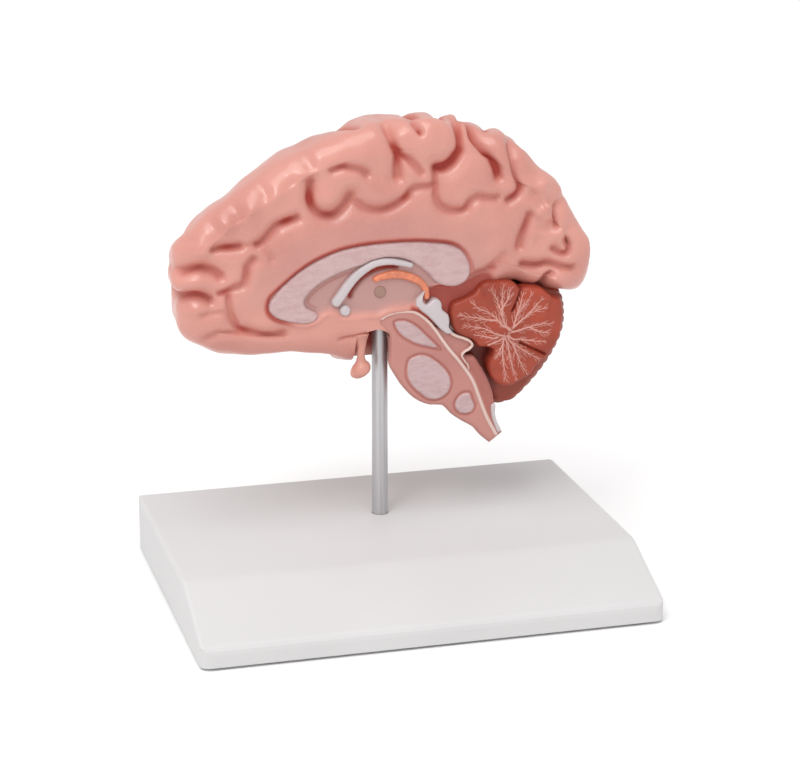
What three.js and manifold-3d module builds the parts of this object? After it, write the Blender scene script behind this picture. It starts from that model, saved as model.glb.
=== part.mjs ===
// Half brain model: a life-size right half of a brain, cut down the middle, that plugs on to a round rod
// which stands in a desk-shaped base. Millimetres, +Z up. X runs from the forehead to the back of the head,
// and the cut face looks towards -Y.
import * as THREE from "three";
import { mergeVertices } from "three/addons/utils/BufferGeometryUtils.js";
import Module from "manifold-3d";

const wasm = await Module();
wasm.setup();

// Base: a moulded shell, open underneath, flat at the back and sloping to the front
const BASE_WIDTH = 170;
const BASE_DEPTH = 130;
const BASE_HEIGHT = 20; // of the flat part, above the lower rim
const BASE_FRONT_HEIGHT = 7; // of the front wall, above the lower rim
const BASE_FOLD = 32; // from the middle of the base forward to the fold
const BASE_WALL = 2.5;
const BASE_EDGE = 1.2; // rounding of the side edges of the top
const BASE_TOP_ROUNDING = 2.4; // rounding at the back, fold and front of the side view
const BASE_CORNER = 4; // rounding of the upright corners
const RIB_THICKNESS = 2;
const RIB_SPACING = 56;
const RIB_LIFT = 1; // the ribs stop this far above the rim

// Rubber feet in the corners
const FOOT_DIAMETER = 12;
const FOOT_HEIGHT = 3;
const FOOT_PROUD = 1; // of the rim
const FOOT_EASE = 0.6; // of its lower edge
const FOOT_INSET = 14; // from the base's sides to the middle of a foot
const PAD_WALL = 2; // round the pocket of a foot

// Rod, its screw and its washer
const ROD_DIAMETER = 6;
const ROD_LENGTH = 111;
const ROD_BACK = 20; // from the middle of the base back to the rod
const ROD_RIGHT = 1; // and to the right
const ROD_CHAMFER = 0.6;
const ROD_IN_BASE = 12;
const BOSS_WALL = 5;
const BOSS_FLOOR = 3;
const SCREW_RECESS = 1.5; // room round the washer in the ribs
const SCREW_DIAMETER = 4;
const SCREW_LENGTH = 11;
const SCREW_HEAD_DIAMETER = 8;
const SCREW_HEAD_HEIGHT = 2.4;
const SCREW_SLOT = 1;
const WASHER_DIAMETER = 10;
const WASHER_THICKNESS = 0.8;

// Gaps between pieces
const RUNNING_GAP = 0.2; // a turning or sliding round piece, on the radius
const SEAT_GAP = 0.3; // a piece set in a pocket
const GROOVE_GAP = 0.8; // the engraved line round an inlay

// Socket in the brain that takes the rod
const SOCKET_DEPTH = 23;
const BUSH_WALL = 1.2;
const BUSH_CAP = 1.5;
const ROD_DEPTH = 10.5; // from the cut face back to the rod's axis

// Brain. Its points are (x, z): x from the middle of the base, z from the datum SEAT_Z below the rod's end.
const SEAT_Z = 18;
const HEMISPHERE_WIDTH = 58;
const RIM_RADIUS = 8; // rounding between the cut face and the outside
const DOME_POWER = 2.25; // 2 is an ellipse, more is fuller
const LOBE_DEPTH = 34; // where the temporal lobe hangs lowest
const FACE_CENTRE = [2, 25];
const DOME_CENTRE = [-2, 22];
const SURFACE_STEP = 3.9; // between the rings of the cut face
const DOME_STEP = 5.5;

// Depths behind the cut face
const INLAY_FLOOR = 5;
const CALLOSUM_FACE = 1;
const SEPTUM_FACE = 2.4;
const FORNIX_FACE = 0.8;
const THALAMUS_FACE = 2.8;
const ADHESION_FACE = 2;
const PLEXUS_FACE = 1.2;
const STEM_FACE = 1.5;
const STEM_INLAY_DEPTH = 1;
const LINING_PROUD = 0.5;
const TECTUM_FACE = 0.6;
const VELUM_FACE = 0.8;
const VENTRICLE_FACE = 2.6;
const VENTRICLE_BACK = 5.6;
const DEEP_RECESS = 16;
const VERMIS_FACE = 1;
const VERMIS_BACK = 8;
const TREE_PROUD = 0.5;
const CEREBELLUM_WIDTH = 46;
const CEREBELLUM_CENTRE = [58, -14];
const FOLIA_DEPTH = 1.1;
const FOLIA_PITCH = 5.2;
const PITUITARY_X = -7.2;
const PITUITARY_DEPTH = 6;
const STALK_SEAT = 5; // the least height of the stalk's seat

// The hemisphere's edge, from the forehead over the top: x and z on the cut face, then how far the same
// point has moved at LOBE_DEPTH, where the temporal lobe hangs below the rest
const HEMISPHERE_EDGE = [
  [-77.2, 18, 0, 0], [-75.2, 25.8, 0, 0], [-70.4, 31.6, 0, 0], [-64.6, 36.6, 0, 0], [-56.6, 42, 0, 0],
  [-47, 48.8, 0, 0], [-37.4, 55.2, 0, 0], [-28, 59.8, 0, 0], [-18.6, 63.6, 0, 0], [-9.6, 66.6, 0, 0],
  [-1.6, 69.2, 0, 0], [7.2, 70.2, 0, 0], [16, 71, 0, 0], [24.6, 70.2, 0, 0], [32.6, 69, 0, 0],
  [40.4, 65.4, 0, 0], [49.8, 62, 0, 0], [56.2, 57.2, 0, 0], [61.8, 49.2, 0, 0], [68.2, 43.6, 0, 0],
  [73.8, 34.7, 0, 0], [77.8, 27.2, 0, 0], [82.2, 18.2, 0, 0], [81.4, 11.4, 0, 0], [77.6, 5, 0, 0],
  [69, 4.6, 1, 0], [60, 7.4, 3, -6], [52, 9, 2, -15], [40, 2, 2, -17], [28, -8, 2, -15],
  [14, -14, 0, -12], [0, -16, -4, -10], [-11, -16.4, -4, -8], [-20, -15, -4, -4], [-30.4, -15, 0, 0],
  [-42, -15, 0, 0], [-55, -14.2, 0, 0], [-64.6, -12.2, 0, 0], [-71.2, -7.2, 0, 0], [-74.8, -0.4, 0, 0],
  [-75.2, 5.4, 0, 0], [-77.2, 11.6, 0, 0],
];

// Furrows of the cut face, each as its depth, its half width and the points that it runs through
const FACE_FURROWS = [
  { depth: 2, half: 1.8, points: [[-77, 22.4], [-69, 21.2], [-63, 18.8], [-60.3, 17.2]] },
  {
    depth: 2.8, half: 1.8,
    points: [[-62.6, 27.2], [-55.2, 27.8], [-45.1, 28.7], [-42.8, 31], [-39.1, 34.8], [-35, 36.5], [-31.8, 37.3]],
  },
  { depth: 1.4, half: 1.5, points: [[-45, 28.7], [-43.2, 25.8], [-41.4, 23]] },
  {
    depth: 2.6, half: 1.8,
    points: [[-48.1, 23], [-50.4, 20.3], [-50.9, 17.1], [-51.9, 14.1], [-55.6, 12.7], [-60.7, 10.9]],
  },
  { depth: 2, half: 1.8, points: [[-79, 10.8], [-74.2, 10.2], [-67.9, 9]] },
  {
    depth: 2.6, half: 1.8,
    points: [
      [-68.1, 3], [-63.9, 3.6], [-58.8, 3.7], [-56.6, 2], [-55.3, -0.5], [-54, -2.6], [-51.8, -3.6], [-44.8, -5.6],
      [-40.1, -6.1], [-37.3, -5.6],
    ],
  },
  { depth: 1.6, half: 1.6, points: [[-54, -4.3], [-58.2, -4.1], [-62, -4.5], [-66.2, -6.7]] },
  { depth: 1, half: 1.5, points: [[-57.5, 9], [-56.6, 3]] },
  { depth: 1.6, half: 1.6, points: [[-77, 29], [-74, 29.6], [-71.4, 31]] },
  {
    depth: 3, half: 1.9,
    points: [
      [-26.5, 49], [-26.8, 44], [-25.7, 40.7], [-23.4, 38.4], [-20.6, 37.5], [-17.8, 37.7], [-15.3, 39.5],
      [-12.7, 42.1], [-11.6, 44.6],
    ],
  },
  {
    depth: 2.8, half: 1.9,
    points: [
      [-11.8, 43.6], [-9.9, 42], [-6.6, 39.7], [-3.2, 38.7], [0.2, 38.6], [3.6, 39.5], [6.5, 41], [9.3, 43.1],
      [11.1, 45.3], [13.9, 46.2], [20, 46.6],
    ],
  },
  {
    depth: 2.4, half: 1.7,
    points: [[-18.4, 54.2], [-14.4, 55.3], [-11.1, 54.6], [-7.7, 53.6], [-5.7, 52.1]],
  },
  {
    depth: 3.6, half: 2.4,
    points: [[1.6, 77], [2.5, 71.4], [4, 66.4], [5.4, 61.2], [6.5, 58.1], [6.2, 55], [6.2, 50.5]],
  },
  { depth: 2.8, half: 2, points: [[6.5, 58.1], [9.9, 56.7], [12.2, 54.6], [15.1, 51.4]] },
  { depth: 1.6, half: 1.4, points: [[12, 74], [12.6, 71], [14.8, 67]] },
  {
    depth: 3.6, half: 2.2,
    points: [[30, 76], [30.3, 69], [30.6, 63.2], [30, 59.3], [28.3, 56.4], [26, 54], [20.8, 52.6]],
  },
  {
    depth: 2.8, half: 2,
    points: [
      [20.8, 52.6], [20.2, 49.9], [20.3, 45.3], [20.4, 42], [21.9, 39], [24.2, 37.3], [27.6, 36.6], [31.1, 37.1],
      [33.5, 39.8], [36.3, 41.3], [43.9, 40.5],
    ],
  },
  {
    depth: 3.4, half: 2.2,
    points: [[35.4, 72], [37.1, 64.9], [38.8, 61.9], [40.7, 58.1], [42.6, 54.4], [44.1, 50.6], [44.6, 48]],
  },
  {
    depth: 3, half: 1.8,
    points: [[50.6, 62], [51.3, 54.7], [51.8, 50], [52.5, 46.2], [53, 43.4], [51.8, 41.2], [48.6, 39.2]],
  },
  { depth: 1.6, half: 1.8, points: [[56.9, 33], [55.2, 28.6], [53.8, 24.5], [53.1, 21.2]] },
  { depth: 1.6, half: 1.6, points: [[68.4, 34.5], [67.5, 30.8], [67.5, 28.4]] },
  {
    depth: 1.8, half: 1.6,
    points: [[54.9, 14.1], [59.7, 13.5], [64.6, 14], [68.4, 12.8], [73.8, 11.6], [80, 10.6]],
  },
  { depth: 1.6, half: 1.6, points: [[66.4, 19.5], [69.4, 17.7], [71.6, 17.6], [72.8, 19.8]] },
  { depth: 1.2, half: 1.6, points: [[46.4, 18], [42.6, 14.3], [41.1, 11.3]] },
  { depth: 1.6, half: 1.4, points: [[64.9, 10.2], [63.5, 8.7], [62.4, 6]] },
];

// Furrows of the outside, drawn on the dome spread flat inside the same edge
const OUTER_FURROWS = [
  {
    depth: 4.6, half: 2.6,
    points: [[-34, -15], [-26, -8], [-14, 0], [0, 6], [14, 12], [26, 20], [32, 28]],
  },
  { depth: 4.2, half: 2, points: [[9, 78], [11, 66], [4, 55], [3, 44], [-5, 33], [-9, 21], [-7, 12]] },
  {
    depth: 3.4, half: 2,
    points: [[-7, 69], [-10, 58], [-15, 50], [-13, 41], [-20, 30], [-19, 18], [-15, 7]],
  },
  { depth: 3.4, half: 2, points: [[30, 74], [23, 61], [18, 50], [13, 38], [9, 26], [11, 18]] },
  { depth: 3.2, half: 2, points: [[-74, 33], [-60, 38], [-48, 47], [-36, 48], [-24, 57], [-10, 58]] },
  { depth: 3.2, half: 2, points: [[-76, 10], [-62, 18], [-50, 23], [-38, 31], [-28, 28], [-20, 30]] },
  { depth: 2.4, half: 1.8, points: [[-67, 28], [-54, 33], [-42, 38], [-30, 40]] },
  { depth: 3.4, half: 2, points: [[18, 50], [28, 45], [39, 49], [51, 42], [60, 32], [70, 30]] },
  { depth: 3.6, half: 2, points: [[-24, -17], [-8, -10], [8, -5], [22, 2], [34, 9], [42, 20], [47, 31]] },
  { depth: 2.8, half: 1.9, points: [[-12, -21], [5, -17], [18, -12], [36, -6], [50, 4], [58, 14]] },
  { depth: 2, half: 1.8, points: [[8, -24], [26, -19], [40, -10]] },
  { depth: 2.6, half: 1.9, points: [[47, 22], [58, 18], [68, 20], [80, 17]] },
  { depth: 2.4, half: 1.8, points: [[36, 73], [44, 60], [41, 52]] },
  { depth: 2.4, half: 1.8, points: [[54, 61], [56, 51], [66, 45]] },
  { depth: 2.8, half: 1.8, points: [[-22, -5], [-29, 4], [-31, 14]] },
  { depth: 2.4, half: 1.8, points: [[-27, -8], [-39, -4], [-52, -5], [-64, -2]] },
  { depth: 2, half: 1.8, points: [[-46, 12], [-38, 8], [-33, 2]] },
  { depth: 2.2, half: 1.8, points: [[-46, 60], [-38, 58], [-33, 62]] },
  { depth: 2, half: 1.8, points: [[30, 33], [36, 38], [33, 45]] },
  { depth: 2, half: 1.8, points: [[70, 38], [64, 26], [70, 12]] },
];

// Outlines of the pieces set in the cut face
const POCKET_EDGE = [
  [-43.7, 5.4], [-42.8, 8.6], [-40.2, 11.2], [-36.6, 14.2], [-32.7, 17.3], [-27.3, 20.8], [-21.9, 23.2],
  [-16.4, 25], [-11, 26], [-5.6, 26.6], [0, 26.8], [5.3, 26.9], [10.7, 26.8], [16.1, 26.4], [21.8, 25.7],
  [26.6, 24.6], [30, 22.6], [32.5, 19.6], [34.2, 14.3], [33, 9.9], [29.2, 7.6], [25.4, 7.4], [21.8, 8.2],
  [20.2, 6.6], [19.6, 3], [17, 1.2], [12, 0.9], [6, 1], [2, 0.5], [-2, -1.2], [-6, -0.8], [-12, -1],
  [-16.2, -1.2], [-18.4, 0.8], [-22, 0.6], [-24.4, -1.4], [-28.4, -3], [-32.6, -2.6], [-37, -1.4],
  [-41, 0.4], [-43.2, 2.6],
];
const CALLOSUM_EDGE = [
  [-42.8, 5.5], [-42.2, 3], [-40.3, 1], [-36.7, -0.5], [-32.4, -1.7], [-28.6, -2], [-25.6, -1], [-24.8, 0.6],
  [-27, 2.2], [-29.4, 3.8], [-30, 6.5], [-27.8, 9.6], [-24.5, 12.3], [-20.7, 14.5], [-16.4, 16.2],
  [-12, 17.7], [-7.7, 18.8], [-4, 20.2], [0, 21], [4.2, 20.9], [8.5, 20], [11.8, 18.4], [15.1, 15.9],
  [17.8, 13.4], [20, 10.8], [22.2, 9.4], [25.5, 8.5], [28.8, 8.6], [32.1, 10.6], [33.2, 14.2],
  [31.5, 19.3], [29.3, 21.9], [26, 23.7], [21.6, 24.7], [16.1, 25.4], [10.7, 25.8], [5.3, 25.9],
  [0, 25.8], [-5.6, 25.6], [-11, 25], [-16.4, 24], [-21.8, 22.1], [-27.2, 19.7], [-32.6, 16.3],
  [-36.5, 13.2], [-40, 9.8],
];
const SEPTUM_EDGE = [
  [-29.2, 6.4], [-28.6, 4.2], [-25, 2.4], [-21.5, 2.2], [-20.4, 4.2], [-17.2, 9.2], [-14, 12.8],
  [-10.6, 16], [-8.6, 17.6], [-12, 17.1], [-16.4, 15.6], [-20.7, 13.9], [-24.4, 11.7], [-27.5, 9.1],
];
const THALAMUS_EDGE = [
  [-11.2, 5], [-10.6, 8.5], [-8, 11.2], [-4, 12.4], [2, 12.8], [8, 12], [12, 10.2], [13.2, 7.4],
  [11.8, 4], [8, 2.1], [1, 1.6], [-5, 1], [-9.4, 1.8],
];
const TECTUM_EDGE = [
  [12.6, 1.8], [12.9, 3.9], [14.5, 5.6], [16, 7.2], [15.3, 4.8], [15.4, 2.9], [16.8, 1.9], [18.2, 2.9],
  [19.6, 3.7], [21.4, 3.4], [22.4, 1.8], [22.7, -0.4], [24.9, -2.6], [25.5, -5], [25.4, -7.4],
  [26.8, -9.6], [25, -10], [22.8, -8.7], [20.6, -6.4], [17.4, -2.8], [14.6, -0.4],
];
const VENTRICLE_EDGE = [
  [25.8, -11.8], [28.5, -12.6], [31.2, -13.6], [32.9, -14.8], [30.8, -16.5], [29.9, -17.9], [28.2, -16.5],
  [26.5, -14.9],
];
const PONS_INLAY_EDGE = [
  [8.7, -22.6], [9.9, -18.6], [13.8, -17], [17.7, -17.8], [21, -20.4], [23.7, -23.5], [25.5, -26.8],
  [25.8, -30.2], [24, -33.3], [20.8, -34.9], [17.5, -34.7], [14.2, -32.8], [11, -29.6], [9, -26.2],
];
const MIDBRAIN_INLAY_EDGE = [
  [4.2, -3.8], [7.8, -3.3], [10.6, -4.3], [13.4, -6.2], [15.6, -8.4], [18.2, -11.1], [20.4, -13.4],
  [22.2, -15.6], [19.6, -14.7], [16.6, -13.8], [13.3, -12.8], [10.6, -11.4], [8.3, -9.6], [6.6, -7.8],
  [5, -5.7],
];
const MEDULLA_INLAY_EDGE = [
  [28.3, -38.2], [29.4, -35.4], [31.4, -33.9], [33.6, -34.3], [34.2, -36.4], [35.3, -38.8], [34.4, -40.7],
  [32.3, -41.5], [29.8, -40.8],
];
const VERMIS_EDGE = [
  [26.8, 1.2], [26, -1.6], [26.2, -4.4], [27, -7.4], [28.8, -9.4], [31.8, -11.2], [34.4, -12.4],
  [36, -14.4], [37.2, -16.2], [40, -16.6], [42.6, -17.6], [42.4, -19.6], [41.4, -21.6], [41, -24.4],
  [41.9, -27.6], [43.6, -30.4], [46, -32], [48.8, -32.6], [51.8, -31.9], [54.3, -30.4], [56.6, -29.4],
  [58.6, -28], [59.4, -26.2], [60.9, -24.9], [64, -22.3], [66.7, -19.2], [68.9, -15], [69.9, -11.3],
  [70.4, -7.4], [70.3, -3.2], [69.2, 0.2], [66.2, 1.2], [63.8, 3.3], [61.6, 5], [58.4, 5.7], [56, 5.9],
  [53.4, 5.5], [51.4, 7.4], [49, 8.5], [46.3, 8.7], [43, 8.9], [39.8, 8.7], [37.8, 7.6], [35.3, 5],
  [31.9, 3.2], [28.8, 2.2],
];
const CEREBELLUM_EDGE = [
  [34, -5], [40, 0.5], [50, 3], [62, 3.2], [69, 1.8], [73, -2], [74.4, -8], [73.6, -15], [70.6, -22],
  [65.5, -29.5], [59, -36.5], [52.5, -41.5], [45.5, -41.6], [41.5, -34], [39.5, -24], [36, -14],
];

// Bands, as the points of their middle line and the half widths at both ends and between
const FORNIX_BAND = {
  points: [
    [-18.6, 3.6], [-15.5, 7.6], [-13.3, 10.7], [-10.7, 13.7], [-7.5, 16.3], [-2.9, 18.7], [2.5, 19.1], [8, 18],
    [11.6, 16.8],
  ],
  start: 1.4, middle: 1.35, end: 0.7,
};
const PLEXUS_BAND = {
  points: [[-3.6, 13.2], [-0.2, 14.3], [5.2, 14.7], [10.6, 13.1], [14.8, 10.8], [17, 7.4], [17.5, 4.2]],
  start: 0.5, middle: 1.1, end: 0.8,
};
const LINING_BAND = {
  points: [
    [-1, -2.9], [1.4, -1.4], [4.2, -0.6], [9.6, -0.4], [12.4, -1], [15, -2.7], [17.8, -5.3], [20.2, -8.4],
    [24.7, -15], [30.1, -21.9], [34.6, -28.7], [37.2, -35.4], [40.2, -43.3], [43, -48.6],
  ],
  start: 0.4, middle: 0.5, end: 0.4,
};
const VELUM_BAND = {
  points: [[28.4, -10.9], [31.2, -12], [33.8, -13.3], [34.9, -15], [33.4, -16.5], [30.9, -18.4]],
  start: 0.5, middle: 0.8, end: 0.5,
};
const COMMISSURE = { centre: [-14.3, 1.5], radius: 2.1 };
const ADHESION = { centre: [-0.8, 7.6], radius: 2.3 };

// Brain stem, from the midbrain to the cut end: front edge, back edge, and how far it reaches back
const STEM_STATIONS = [
  { front: [2.6, -9], back: [-2.8, -3.2], reach: 8 },
  { front: [2.9, -12.5], back: [3.6, 0.1], reach: 10 },
  { front: [2.9, -16.5], back: [9.8, 0.5], reach: 12 },
  { front: [2.7, -20.5], back: [15.4, -1.8], reach: 13 },
  { front: [4.9, -25], back: [20.9, -7.8], reach: 15 },
  { front: [8.4, -30.4], back: [25.6, -14.4], reach: 16 },
  { front: [12.8, -34.8], back: [30.4, -18.9], reach: 16 },
  { front: [18, -37.4], back: [35.4, -19.8], reach: 14 },
  { front: [23.2, -38.1], back: [38.4, -24.2], reach: 12 },
  { front: [26.8, -41.8], back: [41, -29], reach: 10 },
  { front: [31, -44.9], back: [43, -34.4], reach: 9 },
  { front: [35.2, -47.6], back: [43.9, -40.2], reach: 7.5 },
  { front: [38, -50.9], back: [44.4, -45], reach: 6.5 },
  { front: [41, -53.4], back: [46, -49.8], reach: 5.5 },
];
const PEDUNCLE = { from: [24, -20, 10], to: [48, -17, 15], radius: 5.5 };

// Half of the pituitary's profile, as radius and height; its stalk plugs into the hemisphere
const PITUITARY_PROFILE = [
  [0, -25.4], [2.2, -25.1], [3.5, -24], [3.8, -22.6], [3.2, -20.9], [2.1, -19.6], [1.5, -17.8], [1.5, -14],
  [1.9, -11], [2.4, -9.4], [2.4, -5], [0, -5],
];

// The shallow recess round the brain stem, and the deep one where the temporal lobe shows
const RECESS_EDGE = [
  [-9.4, -70], [-9.4, -20], [-11, -15.5], [-14.4, -10.6], [-15.6, -9.5], [-8, -8.1], [-5.4, -6.9],
  [-2, -6.3], [0.6, -7.2], [2.4, -8.4], [4, -4], [10, -2], [12, 1], [12.3, 4.3], [14.2, 6.4], [16.4, 8.2],
  [25.4, 8.4], [29.4, 8.4], [33.6, 10.4], [39.6, 12], [43, 13], [46.4, 11.6], [50.3, 9.9], [53.7, 8], [58.5, 6.8],
  [62, 5.4], [65, 4.4], [70, 4.2], [80, 2], [95, 0], [95, -70],
];
const DEEP_EDGE = [
  [-9.4, -70], [-9.4, -20], [-11, -15.5], [-14.4, -10.6], [-15.6, -9.5], [-8, -8.1], [-5.4, -6.9],
  [-2, -6.3], [0.6, -7.2], [2.4, -8.4], [10, -10], [18, -12], [23.6, -12.6], [24.4, -8], [24.6, -2],
  [25.6, 2.4], [28, 3.6], [31.2, 4.6], [34.4, 6.4], [36.8, 8.9], [39.4, 10.2], [43.2, 10.4], [46.6, 10.2],
  [50.3, 9.9], [53.7, 8], [58.5, 6.8], [62, 5.4], [65, 4.4], [70, 4.2], [80, 2], [95, 0], [95, -70],
];

// White matter of the vermis: each branch from its root to its tip
const TREE_BRANCHES = [
  [[40.4, -15.6], [43, -14.7], [47.6, -12.9]],
  [[47.6, -12.9], [48, -10], [45.8, -7.2], [42.6, -4.9], [38.8, -2], [34.4, 0.9]],
  [[45.2, -6.6], [44.2, -2.8], [42.7, 2.8], [41.6, 6.7]],
  [[46, -7.4], [46.4, -2.7], [45.9, 2.7], [45.2, 7.2]],
  [[48, -10], [48.8, -4], [48.6, 1], [49.2, 6.6]],
  [[47.6, -12.9], [50.4, -7.6], [52.9, -5], [56.2, -3], [59, -0.4], [61.8, 2.6]],
  [[50.4, -7.6], [52.3, -3.4], [53.5, 1.5], [54.4, 4.2]],
  [[48, -12.4], [50.6, -10.4], [55.6, -9.1], [60, -8.4], [65.6, -8.2]],
  [[53, -9.8], [58.9, -11.8], [64.8, -13]],
  [[47.6, -12.9], [50.8, -16.2], [54.1, -18], [58, -20], [61.2, -22.4]],
  [[50.8, -16.2], [52.3, -20.6], [54.8, -24.6], [57, -28]],
  [[47.6, -12.9], [47.5, -18.2], [47.2, -22.6], [47.5, -27.4], [47.2, -30.6]],
  [[47.4, -15], [44.6, -18.4], [43.6, -20.4]],
  [[49.2, -14.8], [50.8, -22.7], [52, -29]],
  [[46, -9], [39.7, -7.8], [34.2, -6.4], [29.4, -3.6]],
  [[45, -13.9], [39.6, -11.8], [35.8, -10.8], [31.4, -8]],
  [[42.6, -4.9], [37, -4.4], [31.6, -1]],
  [[59, -8.6], [62.4, -5.2], [66.6, -3.8]],
];
const TREE_ROOT = [47.6, -12.9];
const TREE_KNOT = 1; // radius of the knot where the branches meet
const BRANCH_ROOT = 0.4; // half widths
const BRANCH_TIP = 0.16;
const TWIG_ROOT = 0.24;
const TWIG_TIP = 0.1;
const TWIG_LENGTH = 4.4;
const TWIG_ANGLE = 0.62; // radians off the branch
const TWIG_SPACING = 5.6;

// Fissures between the lobules of the vermis
const VERMIS_FISSURES = [
  [[54.6, 8.4], [52.6, 3], [51.4, -2]],
  [[46, 12], [46.4, 6.6]],
  [[54, -14.6], [59, -17.6], [64.6, -19.6]],
  [[35.4, 6.6], [38.6, 3.6]],
  [[71, -4], [64, -4.6]],
  [[52.4, -32.6], [51.8, -25]],
  [[27, -5.2], [33, -4.8]],
];
const FISSURE_WIDTH = 0.7;
const FISSURE_DEPTH = 1.4;

// Places that follow from the sizes
const RIM_Z = FOOT_PROUD;
const BASE_TOP = RIM_Z + BASE_HEIGHT;
const ROD_BOTTOM = BASE_TOP - ROD_IN_BASE;
const ROD_TOP = ROD_BOTTOM + ROD_LENGTH;
const ROD_RADIUS = ROD_DIAMETER / 2;
const BUSH_RADIUS = ROD_RADIUS + RUNNING_GAP + BUSH_WALL;
const BOSS_RADIUS = ROD_RADIUS + RUNNING_GAP + BOSS_WALL;
const BOSS_BOTTOM = ROD_BOTTOM - RUNNING_GAP - BOSS_FLOOR;
const BRAIN_Z = ROD_TOP + SEAT_GAP - SEAT_Z;
const BRAIN_Y = ROD_BACK - ROD_DEPTH;
const CENTRING_Y = -(BRAIN_Y + HEMISPHERE_WIDTH - BASE_DEPTH / 2) / 2;

// Curves

// Points along the smooth curve through the given points, about one every step
function smoothPoints(points, closed, step) {
  const curve = new THREE.CatmullRomCurve3(
    points.map(([x, z]) => new THREE.Vector3(x, 0, z)), closed, "centripetal");
  const count = Math.max(2, Math.round(curve.getLength() / step));
  const spaced = curve.getSpacedPoints(count).map((p) => [p.x, p.z]);
  if (closed) spaced.pop();
  return spaced;
}

function lerp(a, b, t) {
  return a + (b - a) * t;
}

function smoothstep(low, high, value) {
  const t = Math.min(1, Math.max(0, (value - low) / (high - low)));
  return t * t * (3 - 2 * t);
}

function distanceToSegment(x, z, [ax, az], [bx, bz]) {
  const dx = bx - ax;
  const dz = bz - az;
  const t = Math.min(1, Math.max(0, ((x - ax) * dx + (z - az) * dz) / (dx * dx + dz * dz)));
  return Math.hypot(x - ax - t * dx, z - az - t * dz);
}

function distanceToLine(x, z, line) {
  let least = Infinity;
  for (let i = 1; i < line.length; i++) {
    least = Math.min(least, distanceToSegment(x, z, line[i - 1], line[i]));
  }
  return least;
}

// The outline of a band that runs along its middle line
function bandOutline({ points, start, middle, end }, step = 2.2) {
  const line = smoothPoints(points, false, step);
  const last = line.length - 1;
  const left = [];
  const right = [];
  line.forEach(([x, z], i) => {
    const [ax, az] = line[Math.max(0, i - 1)];
    const [bx, bz] = line[Math.min(last, i + 1)];
    const length = Math.hypot(bx - ax, bz - az);
    const t = i / last;
    const half = t < 0.3 ? lerp(start, middle, t / 0.3) : lerp(middle, end, (t - 0.3) / 0.7);
    left.push([x - ((bz - az) / length) * half, z + ((bx - ax) / length) * half]);
    right.push([x + ((bz - az) / length) * half, z - ((bx - ax) / length) * half]);
  });
  return [...left, ...right.reverse()];
}

function circleOutline([x, z], radius, sides) {
  return Array.from({ length: sides }, (_, i) => {
    const angle = (2 * Math.PI * i) / sides;
    return [x + radius * Math.cos(angle), z + radius * Math.sin(angle)];
  });
}

// An outline moved outwards, or inwards where distance is negative
function offsetOutline(outline, distance) {
  const turn = Math.sign(THREE.ShapeUtils.area(outline.map(([x, y]) => new THREE.Vector2(x, y))));
  return outline.map(([x, z], i) => {
    const [ax, az] = outline[(i + outline.length - 1) % outline.length];
    const [bx, bz] = outline[(i + 1) % outline.length];
    const length = Math.hypot(bx - ax, bz - az);
    return [x + (turn * distance * (bz - az)) / length, z - (turn * distance * (bx - ax)) / length];
  });
}

// Solids

function solidOf(geometry) {
  const bare = geometry.clone();
  bare.deleteAttribute("normal");
  bare.deleteAttribute("uv");
  const merged = mergeVertices(bare, 1e-4);
  return new wasm.Manifold(new wasm.Mesh({
    numProp: 3,
    vertProperties: new Float32Array(merged.attributes.position.array),
    triVerts: new Uint32Array(merged.index.array),
  }));
}

function geometryOf(solid) {
  const mesh = solid.getMesh();
  const geometry = new THREE.BufferGeometry();
  geometry.setAttribute("position", new THREE.BufferAttribute(new Float32Array(mesh.vertProperties), 3));
  geometry.setIndex(new THREE.BufferAttribute(new Uint32Array(mesh.triVerts), 1));
  const flat = geometry.toNonIndexed();
  flat.computeVertexNormals();
  return flat;
}

function largestBody(solid) {
  return solid.decompose().reduce((most, body) => (body.volume() > most.volume() ? body : most));
}

function shapeOf(outline) {
  return new THREE.Shape(outline.map(([x, y]) => new THREE.Vector2(x, y)));
}

// A plate that lies along the cut face, from one depth behind it to another, with its edges eased
function plate(outline, front, back, bevel = 0, bevelSegments = 1) {
  const geometry = new THREE.ExtrudeGeometry(shapeOf(outline), {
    depth: back - front - 2 * bevel,
    bevelEnabled: bevel > 0,
    bevelThickness: bevel,
    bevelSize: bevel,
    bevelOffset: -bevel,
    bevelSegments,
  });
  geometry.rotateX(Math.PI / 2).translate(0, back - bevel, 0);
  return solidOf(geometry);
}

// A round piece on a vertical axis, from its profile of radius and height
function turned(profile, sides) {
  const geometry = new THREE.LatheGeometry(profile.map(([r, z]) => new THREE.Vector2(r, z)), sides);
  geometry.rotateX(Math.PI / 2);
  return solidOf(geometry);
}

// A plain disc or pin of the given radius between two heights
function pin(radius, bottom, top, sides) {
  return turned([[0, bottom], [radius, bottom], [radius, top], [0, top]], sides);
}

function block(x0, x1, y0, y1, z0, z1) {
  const geometry = new THREE.BoxGeometry(x1 - x0, y1 - y0, z1 - z0);
  geometry.translate((x0 + x1) / 2, (y0 + y1) / 2, (z0 + z1) / 2);
  return solidOf(geometry);
}

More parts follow.
